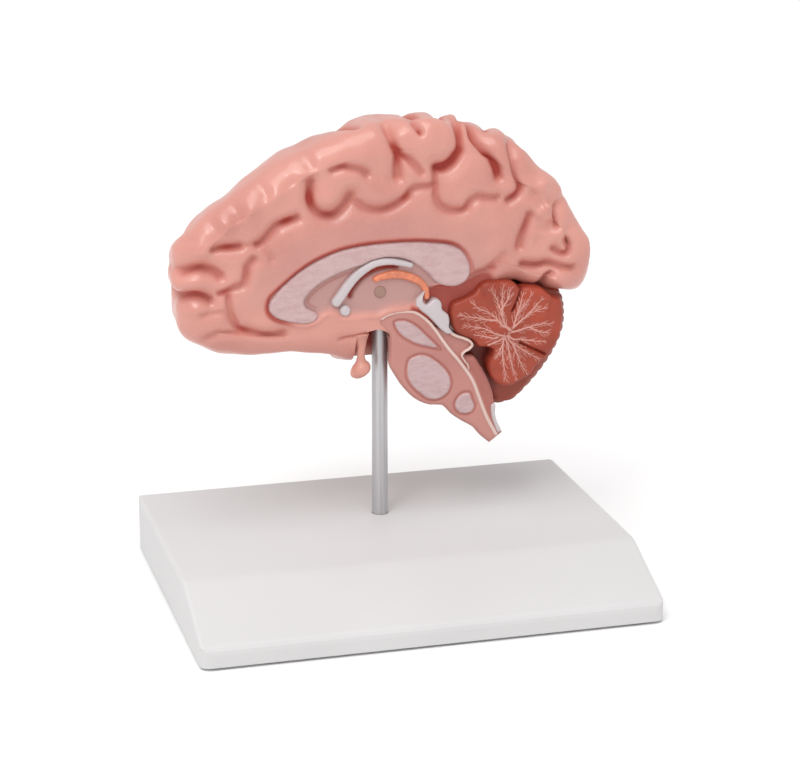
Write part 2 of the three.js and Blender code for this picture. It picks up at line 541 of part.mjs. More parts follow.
// A closed skin over rings of points, whose first and last rings are single points
function ringSkin(rings) {
  const positions = rings.flat().flat();
  const starts = [];
  let count = 0;
  for (const ring of rings) {
    starts.push(count);
    count += ring.length;
  }
  const triangles = [];
  for (let k = 1; k < rings.length; k++) {
    const n = rings[k - 1].length;
    const m = rings[k].length;
    const a = starts[k - 1];
    const b = starts[k];
    let i = 0;
    let j = 0;
    while ((n > 1 && i < n) || (m > 1 && j < m)) {
      const stepFirst = m === 1 || (n > 1 && i < n && (j >= m || (i + 1) / n <= (j + 1) / m));
      if (stepFirst) {
        triangles.push(a + (i % n), a + ((i + 1) % n), b + (j % m));
        i++;
      } else {
        triangles.push(a + (i % n), b + ((j + 1) % m), b + (j % m));
        j++;
      }
    }
  }
  return { positions, triangles };
}

function skinSolid({ positions, triangles }) {
  const made = new THREE.BufferGeometry();
  made.setAttribute("position", new THREE.BufferAttribute(new Float32Array(positions), 3));
  made.setIndex(triangles);
  const solid = solidOf(made);
  if (solid.volume() > 0) return solid;
  for (let i = 0; i < triangles.length; i += 3) {
    [triangles[i + 1], triangles[i + 2]] = [triangles[i + 2], triangles[i + 1]];
  }
  made.setIndex(triangles);
  return solidOf(made);
}

// Stand

// An outline whose corners are rounded off by the given radius
function roundedShape(corners, radius) {
  const shape = new THREE.Shape();
  corners.forEach(([x, y], i) => {
    const corner = new THREE.Vector2(x, y);
    const before = new THREE.Vector2(...corners[(i + corners.length - 1) % corners.length]);
    const after = new THREE.Vector2(...corners[(i + 1) % corners.length]);
    const start = corner.clone().add(before.sub(corner).setLength(radius));
    const end = corner.clone().add(after.sub(corner).setLength(radius));
    if (i === 0) shape.moveTo(start.x, start.y);
    else shape.lineTo(start.x, start.y);
    shape.quadraticCurveTo(x, y, end.x, end.y);
  });
  shape.closePath();
  return shape;
}

// The base's side view, as y from the middle and height, moved inwards by inset
function baseSide(inset, bottom, rounding) {
  const front = -BASE_DEPTH / 2 + inset;
  const back = BASE_DEPTH / 2 - inset;
  const slope = Math.atan2(BASE_HEIGHT - BASE_FRONT_HEIGHT, BASE_DEPTH / 2 - BASE_FOLD);
  const foldY = -BASE_FOLD + inset * Math.tan(slope / 2);
  const frontTop = RIM_Z + BASE_FRONT_HEIGHT - inset / Math.cos(slope) + inset * Math.tan(slope);
  const top = BASE_TOP - inset;
  return roundedShape([[front, bottom], [back, bottom], [back, top], [foldY, top], [front, frontTop]], rounding);
}

// The side view drawn out along X, and cut to the plan with its rounded corners
function baseBody(inset, bottom, bevel) {
  const width = BASE_WIDTH - 2 * inset;
  const depth = BASE_DEPTH - 2 * inset;
  const drawn = new THREE.ExtrudeGeometry(baseSide(inset, bottom, Math.max(0.4, BASE_TOP_ROUNDING - inset)), {
    depth: width - 2 * bevel,
    bevelEnabled: bevel > 0,
    bevelThickness: bevel,
    bevelSize: bevel,
    bevelOffset: -bevel,
    bevelSegments: 2,
    curveSegments: 3,
  });
  drawn.translate(0, 0, -width / 2 + bevel);
  drawn.applyMatrix4(new THREE.Matrix4().makeBasis(
    new THREE.Vector3(0, 1, 0), new THREE.Vector3(0, 0, 1), new THREE.Vector3(1, 0, 0)));
  const corners = [[-1, -1], [1, -1], [1, 1], [-1, 1]].map(([x, y]) => [(x * width) / 2, (y * depth) / 2]);
  const plan = new THREE.ExtrudeGeometry(roundedShape(corners, BASE_CORNER - inset), {
    depth: BASE_TOP - bottom + 2, bevelEnabled: false, curveSegments: 4,
  });
  return solidOf(drawn).intersect(solidOf(plan.translate(0, 0, bottom - 1)));
}

function footPlaces() {
  const x = BASE_WIDTH / 2 - FOOT_INSET;
  const y = BASE_DEPTH / 2 - FOOT_INSET;
  return [[-x, -y], [x, -y], [-x, y], [x, y]];
}

function baseShell() {
  const below = -20;
  const cavity = baseBody(BASE_WALL, below, 0);
  let shell = baseBody(0, below, BASE_EDGE).subtract(cavity);
  const reachX = BASE_WIDTH / 2 - BASE_WALL / 2;
  const reachY = BASE_DEPTH / 2 - BASE_WALL / 2;
  let inside = block(-reachX, reachX, ROD_BACK - RIB_THICKNESS / 2, ROD_BACK + RIB_THICKNESS / 2,
    RIM_Z + RIB_LIFT, BASE_TOP - BASE_WALL / 2);
  for (const x of [-RIB_SPACING / 2, RIB_SPACING / 2]) {
    inside = inside.add(block(x - RIB_THICKNESS / 2, x + RIB_THICKNESS / 2, -reachY, reachY,
      RIM_Z + RIB_LIFT, BASE_TOP - BASE_WALL / 2));
  }
  inside = inside.add(pin(BOSS_RADIUS, BOSS_BOTTOM, BASE_TOP - BASE_WALL / 2, 32)
    .translate(ROD_RIGHT, ROD_BACK, 0));
  for (const [x, y] of footPlaces()) {
    inside = inside.add(pin(FOOT_DIAMETER / 2 + SEAT_GAP + PAD_WALL, RIM_Z, BASE_TOP, 20).translate(x, y, 0));
  }
  shell = shell.add(inside.intersect(baseBody(BASE_WALL / 2, below, 0)));
  shell = shell.subtract(block(-BASE_WIDTH, BASE_WIDTH, -BASE_DEPTH, BASE_DEPTH, below - 1, RIM_Z));
  for (const [x, y] of footPlaces()) {
    shell = shell.subtract(pin(FOOT_DIAMETER / 2 + SEAT_GAP, RIM_Z - 1, FOOT_HEIGHT, 20).translate(x, y, 0));
  }
  const recess = pin(WASHER_DIAMETER / 2 + SCREW_RECESS, RIM_Z, BOSS_BOTTOM, 32);
  const bore = pin(ROD_RADIUS + RUNNING_GAP, ROD_BOTTOM - RUNNING_GAP, BASE_TOP + 1, 24).add(recess);
  const screwHole = pin(SCREW_DIAMETER / 2 + RUNNING_GAP, BOSS_BOTTOM - 1, BASE_TOP, 24);
  return shell.subtract(bore.add(screwHole).translate(ROD_RIGHT, ROD_BACK, 0));
}

// A rubber foot: a low disc with an eased lower edge
function rubberFoot() {
  const r = FOOT_DIAMETER / 2;
  return turned([[0, 0], [r - FOOT_EASE, 0], [r, FOOT_EASE], [r, FOOT_HEIGHT], [0, FOOT_HEIGHT]], 24);
}

// The rod, chamfered at both ends, with the hole for its screw
function supportRod() {
  const c = ROD_CHAMFER;
  const r = ROD_RADIUS;
  const hole = SCREW_DIAMETER / 2 + RUNNING_GAP;
  const holeTop = BOSS_BOTTOM - WASHER_THICKNESS + SCREW_LENGTH + 1;
  return turned([
    [hole, ROD_BOTTOM], [r - c, ROD_BOTTOM], [r, ROD_BOTTOM + c], [r, ROD_TOP - c], [r - c, ROD_TOP],
    [0, ROD_TOP], [0, holeTop + hole / 2], [hole, holeTop], [hole, ROD_BOTTOM],
  ], 24);
}

function rodWasher() {
  const top = BOSS_BOTTOM - RUNNING_GAP / 2;
  const hole = SCREW_DIAMETER / 2 + RUNNING_GAP;
  return turned([
    [hole, top - WASHER_THICKNESS], [WASHER_DIAMETER / 2, top - WASHER_THICKNESS],
    [WASHER_DIAMETER / 2, top], [hole, top], [hole, top - WASHER_THICKNESS],
  ], 32);
}

// A slotted pan-head screw that comes up through the base into the rod
function rodScrew() {
  const seat = BOSS_BOTTOM - RUNNING_GAP / 2 - WASHER_THICKNESS;
  const r = SCREW_DIAMETER / 2;
  const head = SCREW_HEAD_DIAMETER / 2;
  const body = turned([
    [0, seat - SCREW_HEAD_HEIGHT], [head * 0.75, seat - SCREW_HEAD_HEIGHT], [head, seat - SCREW_HEAD_HEIGHT * 0.6],
    [head, seat], [r, seat], [r, seat + SCREW_LENGTH - 0.6], [r - 0.6, seat + SCREW_LENGTH],
    [0, seat + SCREW_LENGTH],
  ], 24);
  const slot = block(-head, head, -SCREW_SLOT / 2, SCREW_SLOT / 2,
    seat - SCREW_HEAD_HEIGHT - 1, seat - SCREW_HEAD_HEIGHT * 0.5);
  return body.subtract(slot);
}

// The socket's bush: a sleeve closed at its upper end
function socketBush() {
  const inner = ROD_RADIUS + RUNNING_GAP;
  const mouth = SEAT_Z - SOCKET_DEPTH;
  const top = SEAT_Z;
  return turned([
    [inner + 0.4, mouth], [BUSH_RADIUS, mouth], [BUSH_RADIUS, top + BUSH_CAP], [0, top + BUSH_CAP], [0, top],
    [inner, top], [inner, mouth + 0.4], [inner + 0.4, mouth],
  ], 24);
}

// Cerebral hemisphere

function furrowLines(furrows) {
  return furrows.map((f) => ({ ...f, line: smoothPoints(f.points, false, 2) }));
}

// How deep the surface lies at a point of the spread-out skin: a sharp furrow in a wide, shallow dip
function furrowDepth(x, z, furrows) {
  let deepest = 0;
  for (const { depth, half, line } of furrows) {
    const d = distanceToLine(x, z, line) / half;
    deepest = Math.max(deepest, depth * (0.7 * Math.exp(-d * d) + 0.3 * Math.exp(-d * d / 7)));
  }
  return deepest;
}

// The skin of a half form with a flat face, a rounded rim and a dome. The centre of its face and of its
// dome, and its edge at the face and at mid-depth, are given as (x, z).
class HalfForm {
  constructor({ edge, faceCentre, domeCentre, front, back, rim, power, midDepth, grow = 0 }) {
    this.edge = new THREE.CatmullRomCurve3(
      edge.map(([x, z]) => new THREE.Vector3(x, 0, z)), true, "centripetal");
    this.mid = new THREE.CatmullRomCurve3(
      edge.map(([x, z, dx = 0, dz = 0]) => new THREE.Vector3(x + dx, 0, z + dz)), true, "centripetal");
    Object.assign(this, { faceCentre, domeCentre, power, midDepth, grow });
    this.front = front - grow;
    this.back = back + grow;
    this.rim = rim;
    this.length = this.edge.getLength();
  }

  // The point at u round the edge and v from the face's middle (0) over the rim (1 to 2) to the dome's top (3)
  at(u, v) {
    const t = this.edge.getUtoTmapping(((u % 1) + 1) % 1);
    const inner = this.edge.getPoint(t);
    const outer = this.mid.getPoint(t);
    let depth;
    let inset = 0;
    let share = 1;
    if (v <= 1) {
      depth = this.front;
      share = v;
      inset = this.rim * v;
    } else if (v <= 2) {
      const turn = ((v - 1) * Math.PI) / 2;
      depth = this.front + this.rim * (1 - Math.cos(turn));
      inset = this.rim * (1 - Math.sin(turn));
    } else {
      const turn = ((v - 2) * Math.PI) / 2;
      depth = this.front + this.rim + (this.back - this.front - this.rim) * Math.sin(turn) ** (2 / this.power);
      share = Math.max(0, Math.cos(turn)) ** (2 / this.power);
    }
    const lowered = smoothstep(this.rim, this.midDepth, depth);
    const far = smoothstep(this.rim, this.back, depth);
    const cx = lerp(this.faceCentre[0], this.domeCentre[0], far);
    const cz = lerp(this.faceCentre[1], this.domeCentre[1], far);
    const dx = lerp(inner.x, outer.x, lowered) - cx;
    const dz = lerp(inner.z, outer.z, lowered) - cz;
    const length = Math.hypot(dx, dz);
    const reach = (length + this.grow) * share - inset;
    return new THREE.Vector3(cx + (dx / length) * reach, depth, cz + (dz / length) * reach);
  }

  normal(u, v) {
    const du = 0.002;
    const dv = 0.01;
    const alongU = this.at(u + du, v).sub(this.at(u - du, v));
    const alongV = this.at(u, Math.min(3, v + dv)).sub(this.at(u, Math.max(0, v - dv)));
    return alongU.cross(alongV).normalize();
  }

  // Where the point lies on the dome spread flat: the same way from the centre, by the way left to go
  spread(u, v) {
    const t = this.edge.getUtoTmapping(((u % 1) + 1) % 1);
    const rimPoint = this.edge.getPoint(t);
    const share = v <= 2 ? 1 : 1 - (v - 2);
    return [
      lerp(this.domeCentre[0], rimPoint.x, share),
      lerp(this.domeCentre[1], rimPoint.z, share),
    ];
  }

  // Rings over the whole skin, sunk by sink(point, u, v, normal)
  rings(rows, step, sink) {
    return rows.map((v) => {
      if (v === 0 || v === 3) {
        const p = this.at(0, v);
        const n = new THREE.Vector3(0, v === 0 ? -1 : 1, 0);
        return [p.addScaledVector(n, -sink(p, 0, v, n)).toArray()];
      }
      const width = v <= 1 ? v : v <= 2 ? 1 : Math.cos(((v - 2) * Math.PI) / 2) ** (2 / this.power);
      const count = Math.max(8, Math.round((this.length * width) / step(v)));
      return Array.from({ length: count }, (_, i) => {
        const u = i / count;
        const p = this.at(u, v);
        const n = this.normal(u, v);
        return p.addScaledVector(n, -sink(p, u, v, n)).toArray();
      });
    });
  }
}

function evenRows(from, to, count) {
  return Array.from({ length: count }, (_, i) => lerp(from, to, (i + 1) / count));
}

function hemisphereSkin() {
  const form = new HalfForm({
    edge: HEMISPHERE_EDGE, faceCentre: FACE_CENTRE, domeCentre: DOME_CENTRE, front: 0, back: HEMISPHERE_WIDTH,
    rim: RIM_RADIUS, power: DOME_POWER, midDepth: LOBE_DEPTH,
  });
  const face = furrowLines(FACE_FURROWS);
  const outside = furrowLines(OUTER_FURROWS);
  const rows = [
    0, ...evenRows(0, 1, Math.round(60 / SURFACE_STEP)), ...evenRows(1, 2, 4),
    ...evenRows(2, 3, Math.round(92 / DOME_STEP)),
  ];
  const rings = form.rings(rows, (v) => (v <= 2 ? SURFACE_STEP : DOME_STEP), (p, u, v) => {
    const onFace = v < 2 ? furrowDepth(p.x, p.z, face) : 0;
    const onDome = v > 1 ? furrowDepth(...form.spread(u, v), outside) : 0;
    return lerp(onFace, onDome, smoothstep(1.2, 2, v));
  });
  return skinSolid(ringSkin(rings));
}

function hemisphere() {
  const reach = 30;
  const seat = smoothPoints(POCKET_EDGE, true, 2.2);
  const pocket = plate(seat, -reach, INLAY_FLOOR);
  const recess = plate(RECESS_EDGE, -reach, INLAY_FLOOR).add(plate(DEEP_EDGE, -reach, DEEP_RECESS));
  const stemFace = plate(stemOutline(SEAT_GAP), -reach, STEM_FACE + 0.5);
  const bushSeat = pin(BUSH_RADIUS + SEAT_GAP, SEAT_Z - SOCKET_DEPTH - 1, SEAT_Z + BUSH_CAP + SEAT_GAP, 24)
    .add(pin(ROD_RADIUS + 2 * SEAT_GAP, -60, SEAT_Z, 24)).translate(ROD_RIGHT, ROD_DEPTH, 0);
  const stalkTop = PITUITARY_PROFILE[PITUITARY_PROFILE.length - 1][1];
  const stalkRadius = PITUITARY_PROFILE[PITUITARY_PROFILE.length - 2][0];
  const stalkSeat = pin(stalkRadius + SEAT_GAP, stalkTop - STALK_SEAT, stalkTop + SEAT_GAP, 16)
    .translate(PITUITARY_X, PITUITARY_DEPTH, 0);
  const cut = hemisphereSkin()
    .subtract(pocket).subtract(recess).subtract(stemFace).subtract(bushSeat).subtract(stalkSeat)
    .subtract(stemBody(SEAT_GAP)).subtract(cerebellumBody(SEAT_GAP));
  return largestBody(cut);
}

// Brain stem

function stemOutline(grow) {
  const outline = [
    ...STEM_STATIONS.map((s) => s.front),
    ...STEM_STATIONS.map((s) => s.back).reverse(),
  ];
  return grow ? offsetOutline(outline, grow) : outline;
}

// The stem's body: a loft of D-shaped sections along the stations, and the stalk that carries the cerebellum
function stemBody(grow) {
  const arc = 10;
  const rings = STEM_STATIONS.map(({ front, back, reach }, i) => {
    const spanX = front[0] - back[0];
    const spanZ = front[1] - back[1];
    const length = Math.hypot(spanX, spanZ);
    const [ux, uz] = [spanX / length, spanZ / length];
    const end = i === 0 ? -1 : i === STEM_STATIONS.length - 1 ? 1 : 0;
    const shiftX = -uz * grow * end;
    const shiftZ = ux * grow * end;
    const middle = [(front[0] + back[0]) / 2 + shiftX, (front[1] + back[1]) / 2 + shiftZ];
    const half = length / 2 + grow;
    return Array.from({ length: arc + 1 }, (_, k) => {
      const turn = (Math.PI * k) / arc;
      const depth = STEM_FACE - grow + (reach + 2 * grow) * Math.sin(turn) ** 0.8;
      return [middle[0] + ux * half * Math.cos(turn), depth, middle[1] + uz * half * Math.cos(turn)];
    });
  });
  const capOf = (ring) => {
    const sum = ring.reduce((s, p) => [s[0] + p[0], s[1] + p[1], s[2] + p[2]], [0, 0, 0]);
    return [sum.map((value) => value / ring.length)];
  };
  const loft = skinSolid(ringSkin([capOf(rings[0]), ...rings, capOf(rings[rings.length - 1])]));
  const from = new THREE.Vector3(PEDUNCLE.from[0], PEDUNCLE.from[2], PEDUNCLE.from[1]);
  const to = new THREE.Vector3(PEDUNCLE.to[0], PEDUNCLE.to[2], PEDUNCLE.to[1]);
  const stalk = new THREE.CylinderGeometry(
    PEDUNCLE.radius + grow, PEDUNCLE.radius + grow, from.distanceTo(to) + 2 * grow, 16);
  stalk.applyQuaternion(new THREE.Quaternion().setFromUnitVectors(
    new THREE.Vector3(0, 1, 0), to.clone().sub(from).normalize()));
  stalk.translate(...from.add(to).multiplyScalar(0.5).toArray());
  return loft.add(solidOf(stalk));
}

// An inlay of the stem's face, and the pocket that it sits in with an engraved line round it
function stemInlay(edge) {
  return plate(smoothPoints(edge, true, 1.6), STEM_FACE, STEM_FACE + STEM_INLAY_DEPTH, 0.2);
}

function stemPocket(edge) {
  return plate(offsetOutline(smoothPoints(edge, true, 1.6), GROOVE_GAP), -1, STEM_FACE + STEM_INLAY_DEPTH);
}

function brainStem() {
  const rodWay = pin(ROD_RADIUS + 2 * SEAT_GAP, -60, SEAT_Z, 24)
    .add(pin(BUSH_RADIUS + SEAT_GAP, SEAT_Z - SOCKET_DEPTH - 1, SEAT_Z, 24)).translate(ROD_RIGHT, ROD_DEPTH, 0);
  let stem = stemBody(0).subtract(rodWay);
  for (const edge of [PONS_INLAY_EDGE, MIDBRAIN_INLAY_EDGE, MEDULLA_INLAY_EDGE]) {
    stem = stem.subtract(stemPocket(edge));
  }
  const vermisClear = plate(offsetOutline(smoothPoints(VERMIS_EDGE, true, 2), SEAT_GAP), -1, VERMIS_BACK + SEAT_GAP);
  return largestBody(stem.subtract(vermisClear));
}

function bandPlate(band, front, back, bevel) {
  return plate(bandOutline(band), front, back, bevel);
}

// Cerebellum

// The lateral part of the cerebellum: a half form whose skin is ribbed with folia that run front to back
function cerebellumBody(grow) {
  const form = new HalfForm({
    edge: CEREBELLUM_EDGE, faceCentre: CEREBELLUM_CENTRE, domeCentre: CEREBELLUM_CENTRE,
    front: VERMIS_BACK, back: CEREBELLUM_WIDTH, rim: 5, power: 2.1, midDepth: 20, grow,
  });
  const rows = [0, ...evenRows(0, 1, 5), ...evenRows(1, 2, 2), ...evenRows(2, 3, 15)];
  const rings = form.rings(rows, (v) => (v <= 1 ? 8 : 3.4), (p, u, v) => {
    if (grow > 0 || v <= 1) return 0;
    const wave = (p.z + 0.12 * (p.x - CEREBELLUM_CENTRE[0]) + 0.1 * p.y) / FOLIA_PITCH;
    return FOLIA_DEPTH * (1 - Math.abs(Math.sin(Math.PI * wave))) * smoothstep(1, 2, v);
  });
  return skinSolid(ringSkin(rings));
}

function cerebellum() {
  return largestBody(cerebellumBody(0).subtract(stemBody(SEAT_GAP)));
}

// The vermis: the cut face of the cerebellum's middle, with the fissures between its lobules
function vermis() {
  let solid = plate(smoothPoints(VERMIS_EDGE, true, 2.6), VERMIS_FACE, VERMIS_BACK, 0.5);
  for (const points of VERMIS_FISSURES) {
    const outline = bandOutline({ points, start: FISSURE_WIDTH / 2, middle: FISSURE_WIDTH / 2, end: FISSURE_WIDTH / 4 });
    solid = solid.subtract(plate(outline, VERMIS_FACE - 1, VERMIS_FACE + FISSURE_DEPTH));
  }
  return largestBody(solid);
}

// Twigs on both sides of a branch, shorter towards its tip
function twigOutlines(line) {
  const last = line.length - 1;
  return line.slice(1, last).map(([x, z], k) => {
    const i = k + 1;
    const heading = Math.atan2(z - line[i - 1][1], x - line[i - 1][0]);
    const angle = heading + (i % 2 ? TWIG_ANGLE : -TWIG_ANGLE);
    const reach = TWIG_LENGTH * (1 - 0.55 * (i / last));
    const tip = [x + reach * Math.cos(angle), z + reach * Math.sin(angle)];
    return bandOutline({ points: [[x, z], tip], start: TWIG_ROOT, middle: TWIG_ROOT, end: TWIG_TIP }, reach);
  });
}

function whiteMatterTree() {
  const widths = { start: BRANCH_ROOT, middle: (2 * BRANCH_ROOT + BRANCH_TIP) / 3, end: BRANCH_TIP };
  const outlines = [circleOutline(TREE_ROOT, TREE_KNOT, 16)];
  for (const points of TREE_BRANCHES) {
    outlines.push(bandOutline({ points, ...widths }, TWIG_SPACING));
    outlines.push(...twigOutlines(smoothPoints(points, false, TWIG_SPACING)));
  }
  const pieces = outlines.map((outline) => plate(outline, VERMIS_FACE - TREE_PROUD, VERMIS_FACE));
  return largestBody(pieces.reduce((tree, piece) => tree.add(piece)));
}

// Assembly

const MATERIALS = {
  base: { color: 0xe4e4e4, roughness: 0.45, metalness: 0 },
  rubber: { color: 0x3a3a3c, roughness: 0.9, metalness: 0 },
  metal: { color: 0xc0c0c4, roughness: 0.35, metalness: 0.9 },
  bush: { color: 0xd8d4cc, roughness: 0.5, metalness: 0 },
  cortex: { color: 0xdb9788, roughness: 0.35, metalness: 0 },
  whiteMatter: { color: 0xd2b4b2, roughness: 0.6, metalness: 0 },
  septum: { color: 0xcf9f94, roughness: 0.5, metalness: 0 },
  thalamus: { color: 0xc99f98, roughness: 0.6, metalness: 0 },
  adhesion: { color: 0xb58672, roughness: 0.6, metalness: 0 },
  white: { color: 0xd8d2d4, roughness: 0.5, metalness: 0 },
  plexus: { color: 0xe48a68, roughness: 0.5, metalness: 0 },
  stem: { color: 0xd89182, roughness: 0.4, metalness: 0 },
  cerebellum: { color: 0xae5240, roughness: 0.45, metalness: 0 },
  vermis: { color: 0xb9583f, roughness: 0.5, metalness: 0 },
  tree: { color: 0xe6b4a2, roughness: 0.5, metalness: 0 },
};

function addPiece(group, name, solid, material) {
  const mesh = new THREE.Mesh(geometryOf(solid), new THREE.MeshStandardMaterial(MATERIALS[material]));
  mesh.name = name;
  group.add(mesh);
  return mesh;
}

function stand() {
  const group = new THREE.Group();
  addPiece(group, "base_shell", baseShell(), "base");
  footPlaces().forEach(([x, y], i) => {
    addPiece(group, `rubber_foot_${i + 1}`, rubberFoot(), "rubber").position.set(x, y, 0);
  });
  const onAxis = new THREE.Group();
  onAxis.position.set(ROD_RIGHT, ROD_BACK, 0);
  addPiece(onAxis, "support_rod", supportRod(), "metal");
  addPiece(onAxis, "rod_screw", rodScrew(), "metal");
  addPiece(onAxis, "rod_washer", rodWasher(), "metal");
  group.add(onAxis);
  return group;
}

function brain() {
  const group = new THREE.Group();
  group.position.set(0, BRAIN_Y, BRAIN_Z);
  addPiece(group, "socket_bush", socketBush(), "bush").position.set(ROD_RIGHT, ROD_DEPTH, 0);
  addPiece(group, "cerebral_hemisphere", hemisphere(), "cortex");
  addPiece(group, "corpus_callosum",
    plate(smoothPoints(CALLOSUM_EDGE, true, 3), CALLOSUM_FACE, INLAY_FLOOR, 0.5), "whiteMatter");
  addPiece(group, "septum_pellucidum",
    plate(offsetOutline(smoothPoints(SEPTUM_EDGE, true, 2.2), -0.2), SEPTUM_FACE, INLAY_FLOOR), "septum");
  addPiece(group, "fornix", bandPlate(FORNIX_BAND, FORNIX_FACE, INLAY_FLOOR, 0.4), "white");
  addPiece(group, "anterior_commissure",
    plate(circleOutline(COMMISSURE.centre, COMMISSURE.radius, 20), FORNIX_FACE, INLAY_FLOOR, 0.4), "white");
  addPiece(group, "thalamus",
    plate(smoothPoints(THALAMUS_EDGE, true, 2.2), THALAMUS_FACE, INLAY_FLOOR, 0.4), "thalamus");
  addPiece(group, "interthalamic_adhesion",
    plate(circleOutline(ADHESION.centre, ADHESION.radius, 20), ADHESION_FACE, THALAMUS_FACE), "adhesion");
  addPiece(group, "choroid_plexus", bandPlate(PLEXUS_BAND, PLEXUS_FACE, INLAY_FLOOR, 0.3), "plexus");
  addPiece(group, "tectal_plate",
    plate(smoothPoints(TECTUM_EDGE, true, 1.6), TECTUM_FACE, INLAY_FLOOR, 0.3), "white");
  addPiece(group, "brain_stem", brainStem(), "stem");
  addPiece(group, "midbrain_inlay", stemInlay(MIDBRAIN_INLAY_EDGE), "whiteMatter");
  addPiece(group, "pons_inlay", stemInlay(PONS_INLAY_EDGE), "whiteMatter");
  addPiece(group, "medulla_inlay", stemInlay(MEDULLA_INLAY_EDGE), "whiteMatter");
  addPiece(group, "aqueduct_lining", bandPlate(LINING_BAND, STEM_FACE - LINING_PROUD, STEM_FACE, 0), "white");
  addPiece(group, "fourth_ventricle_wall",
    plate(offsetOutline(VENTRICLE_EDGE, -0.1), VENTRICLE_FACE, VENTRICLE_BACK), "stem");
  addPiece(group, "medullary_velum", bandPlate(VELUM_BAND, VELUM_FACE, INLAY_FLOOR, 0), "white");
  addPiece(group, "pituitary", turned(PITUITARY_PROFILE, 16), "stem").position
    .set(PITUITARY_X, PITUITARY_DEPTH, 0);
  addPiece(group, "cerebellum", cerebellum(), "cerebellum");
  addPiece(group, "vermis", vermis(), "vermis");
  addPiece(group, "arbor_vitae", whiteMatterTree(), "tree");
  return group;
}

const model = new THREE.Group();
model.position.y = CENTRING_Y;
model.add(stand(), brain());

export default model;
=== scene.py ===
# %% [markdown]
# # Half brain model on a stand
#
# The real object is a teaching model: the right half of a brain, cut down the middle, on a round rod that
# stands in a white plastic base. Its size and its pieces come from the packed model, which is loaded here as
# a fixed frame. Each piece of the frame is then replaced by a finer one of the same size in the same place,
# or keeps its shape and gets its real finish.

# %% Imports and the frame
import math

import bpy
import numpy as np
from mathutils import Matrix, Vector
from mathutils.geometry import delaunay_2d_cdt


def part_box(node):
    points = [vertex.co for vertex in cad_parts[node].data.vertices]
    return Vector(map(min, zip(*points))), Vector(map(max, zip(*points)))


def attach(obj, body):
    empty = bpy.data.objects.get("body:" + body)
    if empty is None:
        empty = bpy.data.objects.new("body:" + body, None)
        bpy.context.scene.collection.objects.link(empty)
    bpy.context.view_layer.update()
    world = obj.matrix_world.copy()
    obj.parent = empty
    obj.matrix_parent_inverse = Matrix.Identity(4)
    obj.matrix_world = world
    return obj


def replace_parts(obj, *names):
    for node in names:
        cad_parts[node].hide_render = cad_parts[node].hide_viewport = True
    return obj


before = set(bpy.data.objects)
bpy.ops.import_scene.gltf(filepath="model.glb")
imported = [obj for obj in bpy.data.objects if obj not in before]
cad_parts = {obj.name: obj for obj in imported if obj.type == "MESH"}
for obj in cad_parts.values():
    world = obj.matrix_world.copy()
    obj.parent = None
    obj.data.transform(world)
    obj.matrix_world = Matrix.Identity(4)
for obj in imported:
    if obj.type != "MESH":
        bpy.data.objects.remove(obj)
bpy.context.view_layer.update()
MM = 0.001
print("pieces in the frame:", len(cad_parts))

# %% [markdown]
# ## Places and main sizes
#
# Lengths are in millimetres in the brain's own frame until a mesh is made: x from the base's middle, y as
# the depth behind the cut face, and z as the height. What the frame's boxes can say is read from them, so
# that the fine pieces stay where the frame's pieces are. The rest are the real sizes.

# %% Places and main sizes
ROD_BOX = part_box("support_rod")
BUSH_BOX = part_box("socket_bush")
BASE_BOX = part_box("base_shell")
SEAT_Z = 18.0
BUSH_CAP = 1.5
ROD_DEPTH = 10.5
ROD_X = (ROD_BOX[0][0] + ROD_BOX[1][0]) / 2 / MM
ROD_Y = (ROD_BOX[0][1] + ROD_BOX[1][1]) / 2 / MM
BRAIN_PLACE = np.array([0.0, ROD_Y - ROD_DEPTH, BUSH_BOX[1][2] / MM - SEAT_Z - BUSH_CAP])
print("the brain's frame stands at", BRAIN_PLACE.round(2), "mm")

# %% [markdown]
# ## Camera
#
# The photograph shows the corners of the base, and only one place, direction and lens of a camera put them
# all where they are in the picture. That fit gave the numbers below. The camera has no shift and no tilt to
# the side, as a camera on a tripod has none.

# %% Camera
CAMERA_PLACE = (-0.22713, -0.84395 + (BASE_BOX[0][1] + BASE_BOX[1][1]) / 2, 0.34226)
CAMERA_AZIMUTH = math.radians(-15.282)
CAMERA_ELEVATION = math.radians(16.848)
CAMERA_LENS = 111.83
CAMERA_SENSOR = 36.0
CAMERA_RANGE = (0.01, 20.0)


def add_camera():
    """A level camera at its place, looking along its azimuth and downwards by its elevation."""
    data = bpy.data.cameras.new("camera")
    data.lens = CAMERA_LENS
    data.sensor_width = CAMERA_SENSOR
    data.clip_start, data.clip_end = CAMERA_RANGE
    camera = bpy.data.objects.new("camera", data)
    camera.location = CAMERA_PLACE
    camera.rotation_euler = (math.pi / 2 - CAMERA_ELEVATION, 0.0, CAMERA_AZIMUTH)
    bpy.context.collection.objects.link(camera)
    bpy.context.scene.camera = camera
    print("camera at", camera.location, "with a lens of", data.lens, "mm")


add_camera()

# %% [markdown]
# ## Light
#
# A picture like this is taken under wide, soft lamps. Many lamps could copy that, but three lights do: a
# white world gives the even light, a sun with a very wide disc gives the soft shadows, and one round lamp
# high on the left gives the small bright spots on the glossy paint.

# %% Light
WORLD_LEVEL = 0.74
SUN = {"energy": 1.28, "angle": math.radians(48)}
SUN_PLACE = (-0.34, -0.42, 1.4)
LAMP = {"shape": "DISK", "size": 0.4, "energy": 2.4, "color": (1.0, 0.985, 0.965)}
LAMP_PLACE = (-0.58, -0.68, 1.1)
LAMP_TARGET = (0.0, 0.0, 0.12)


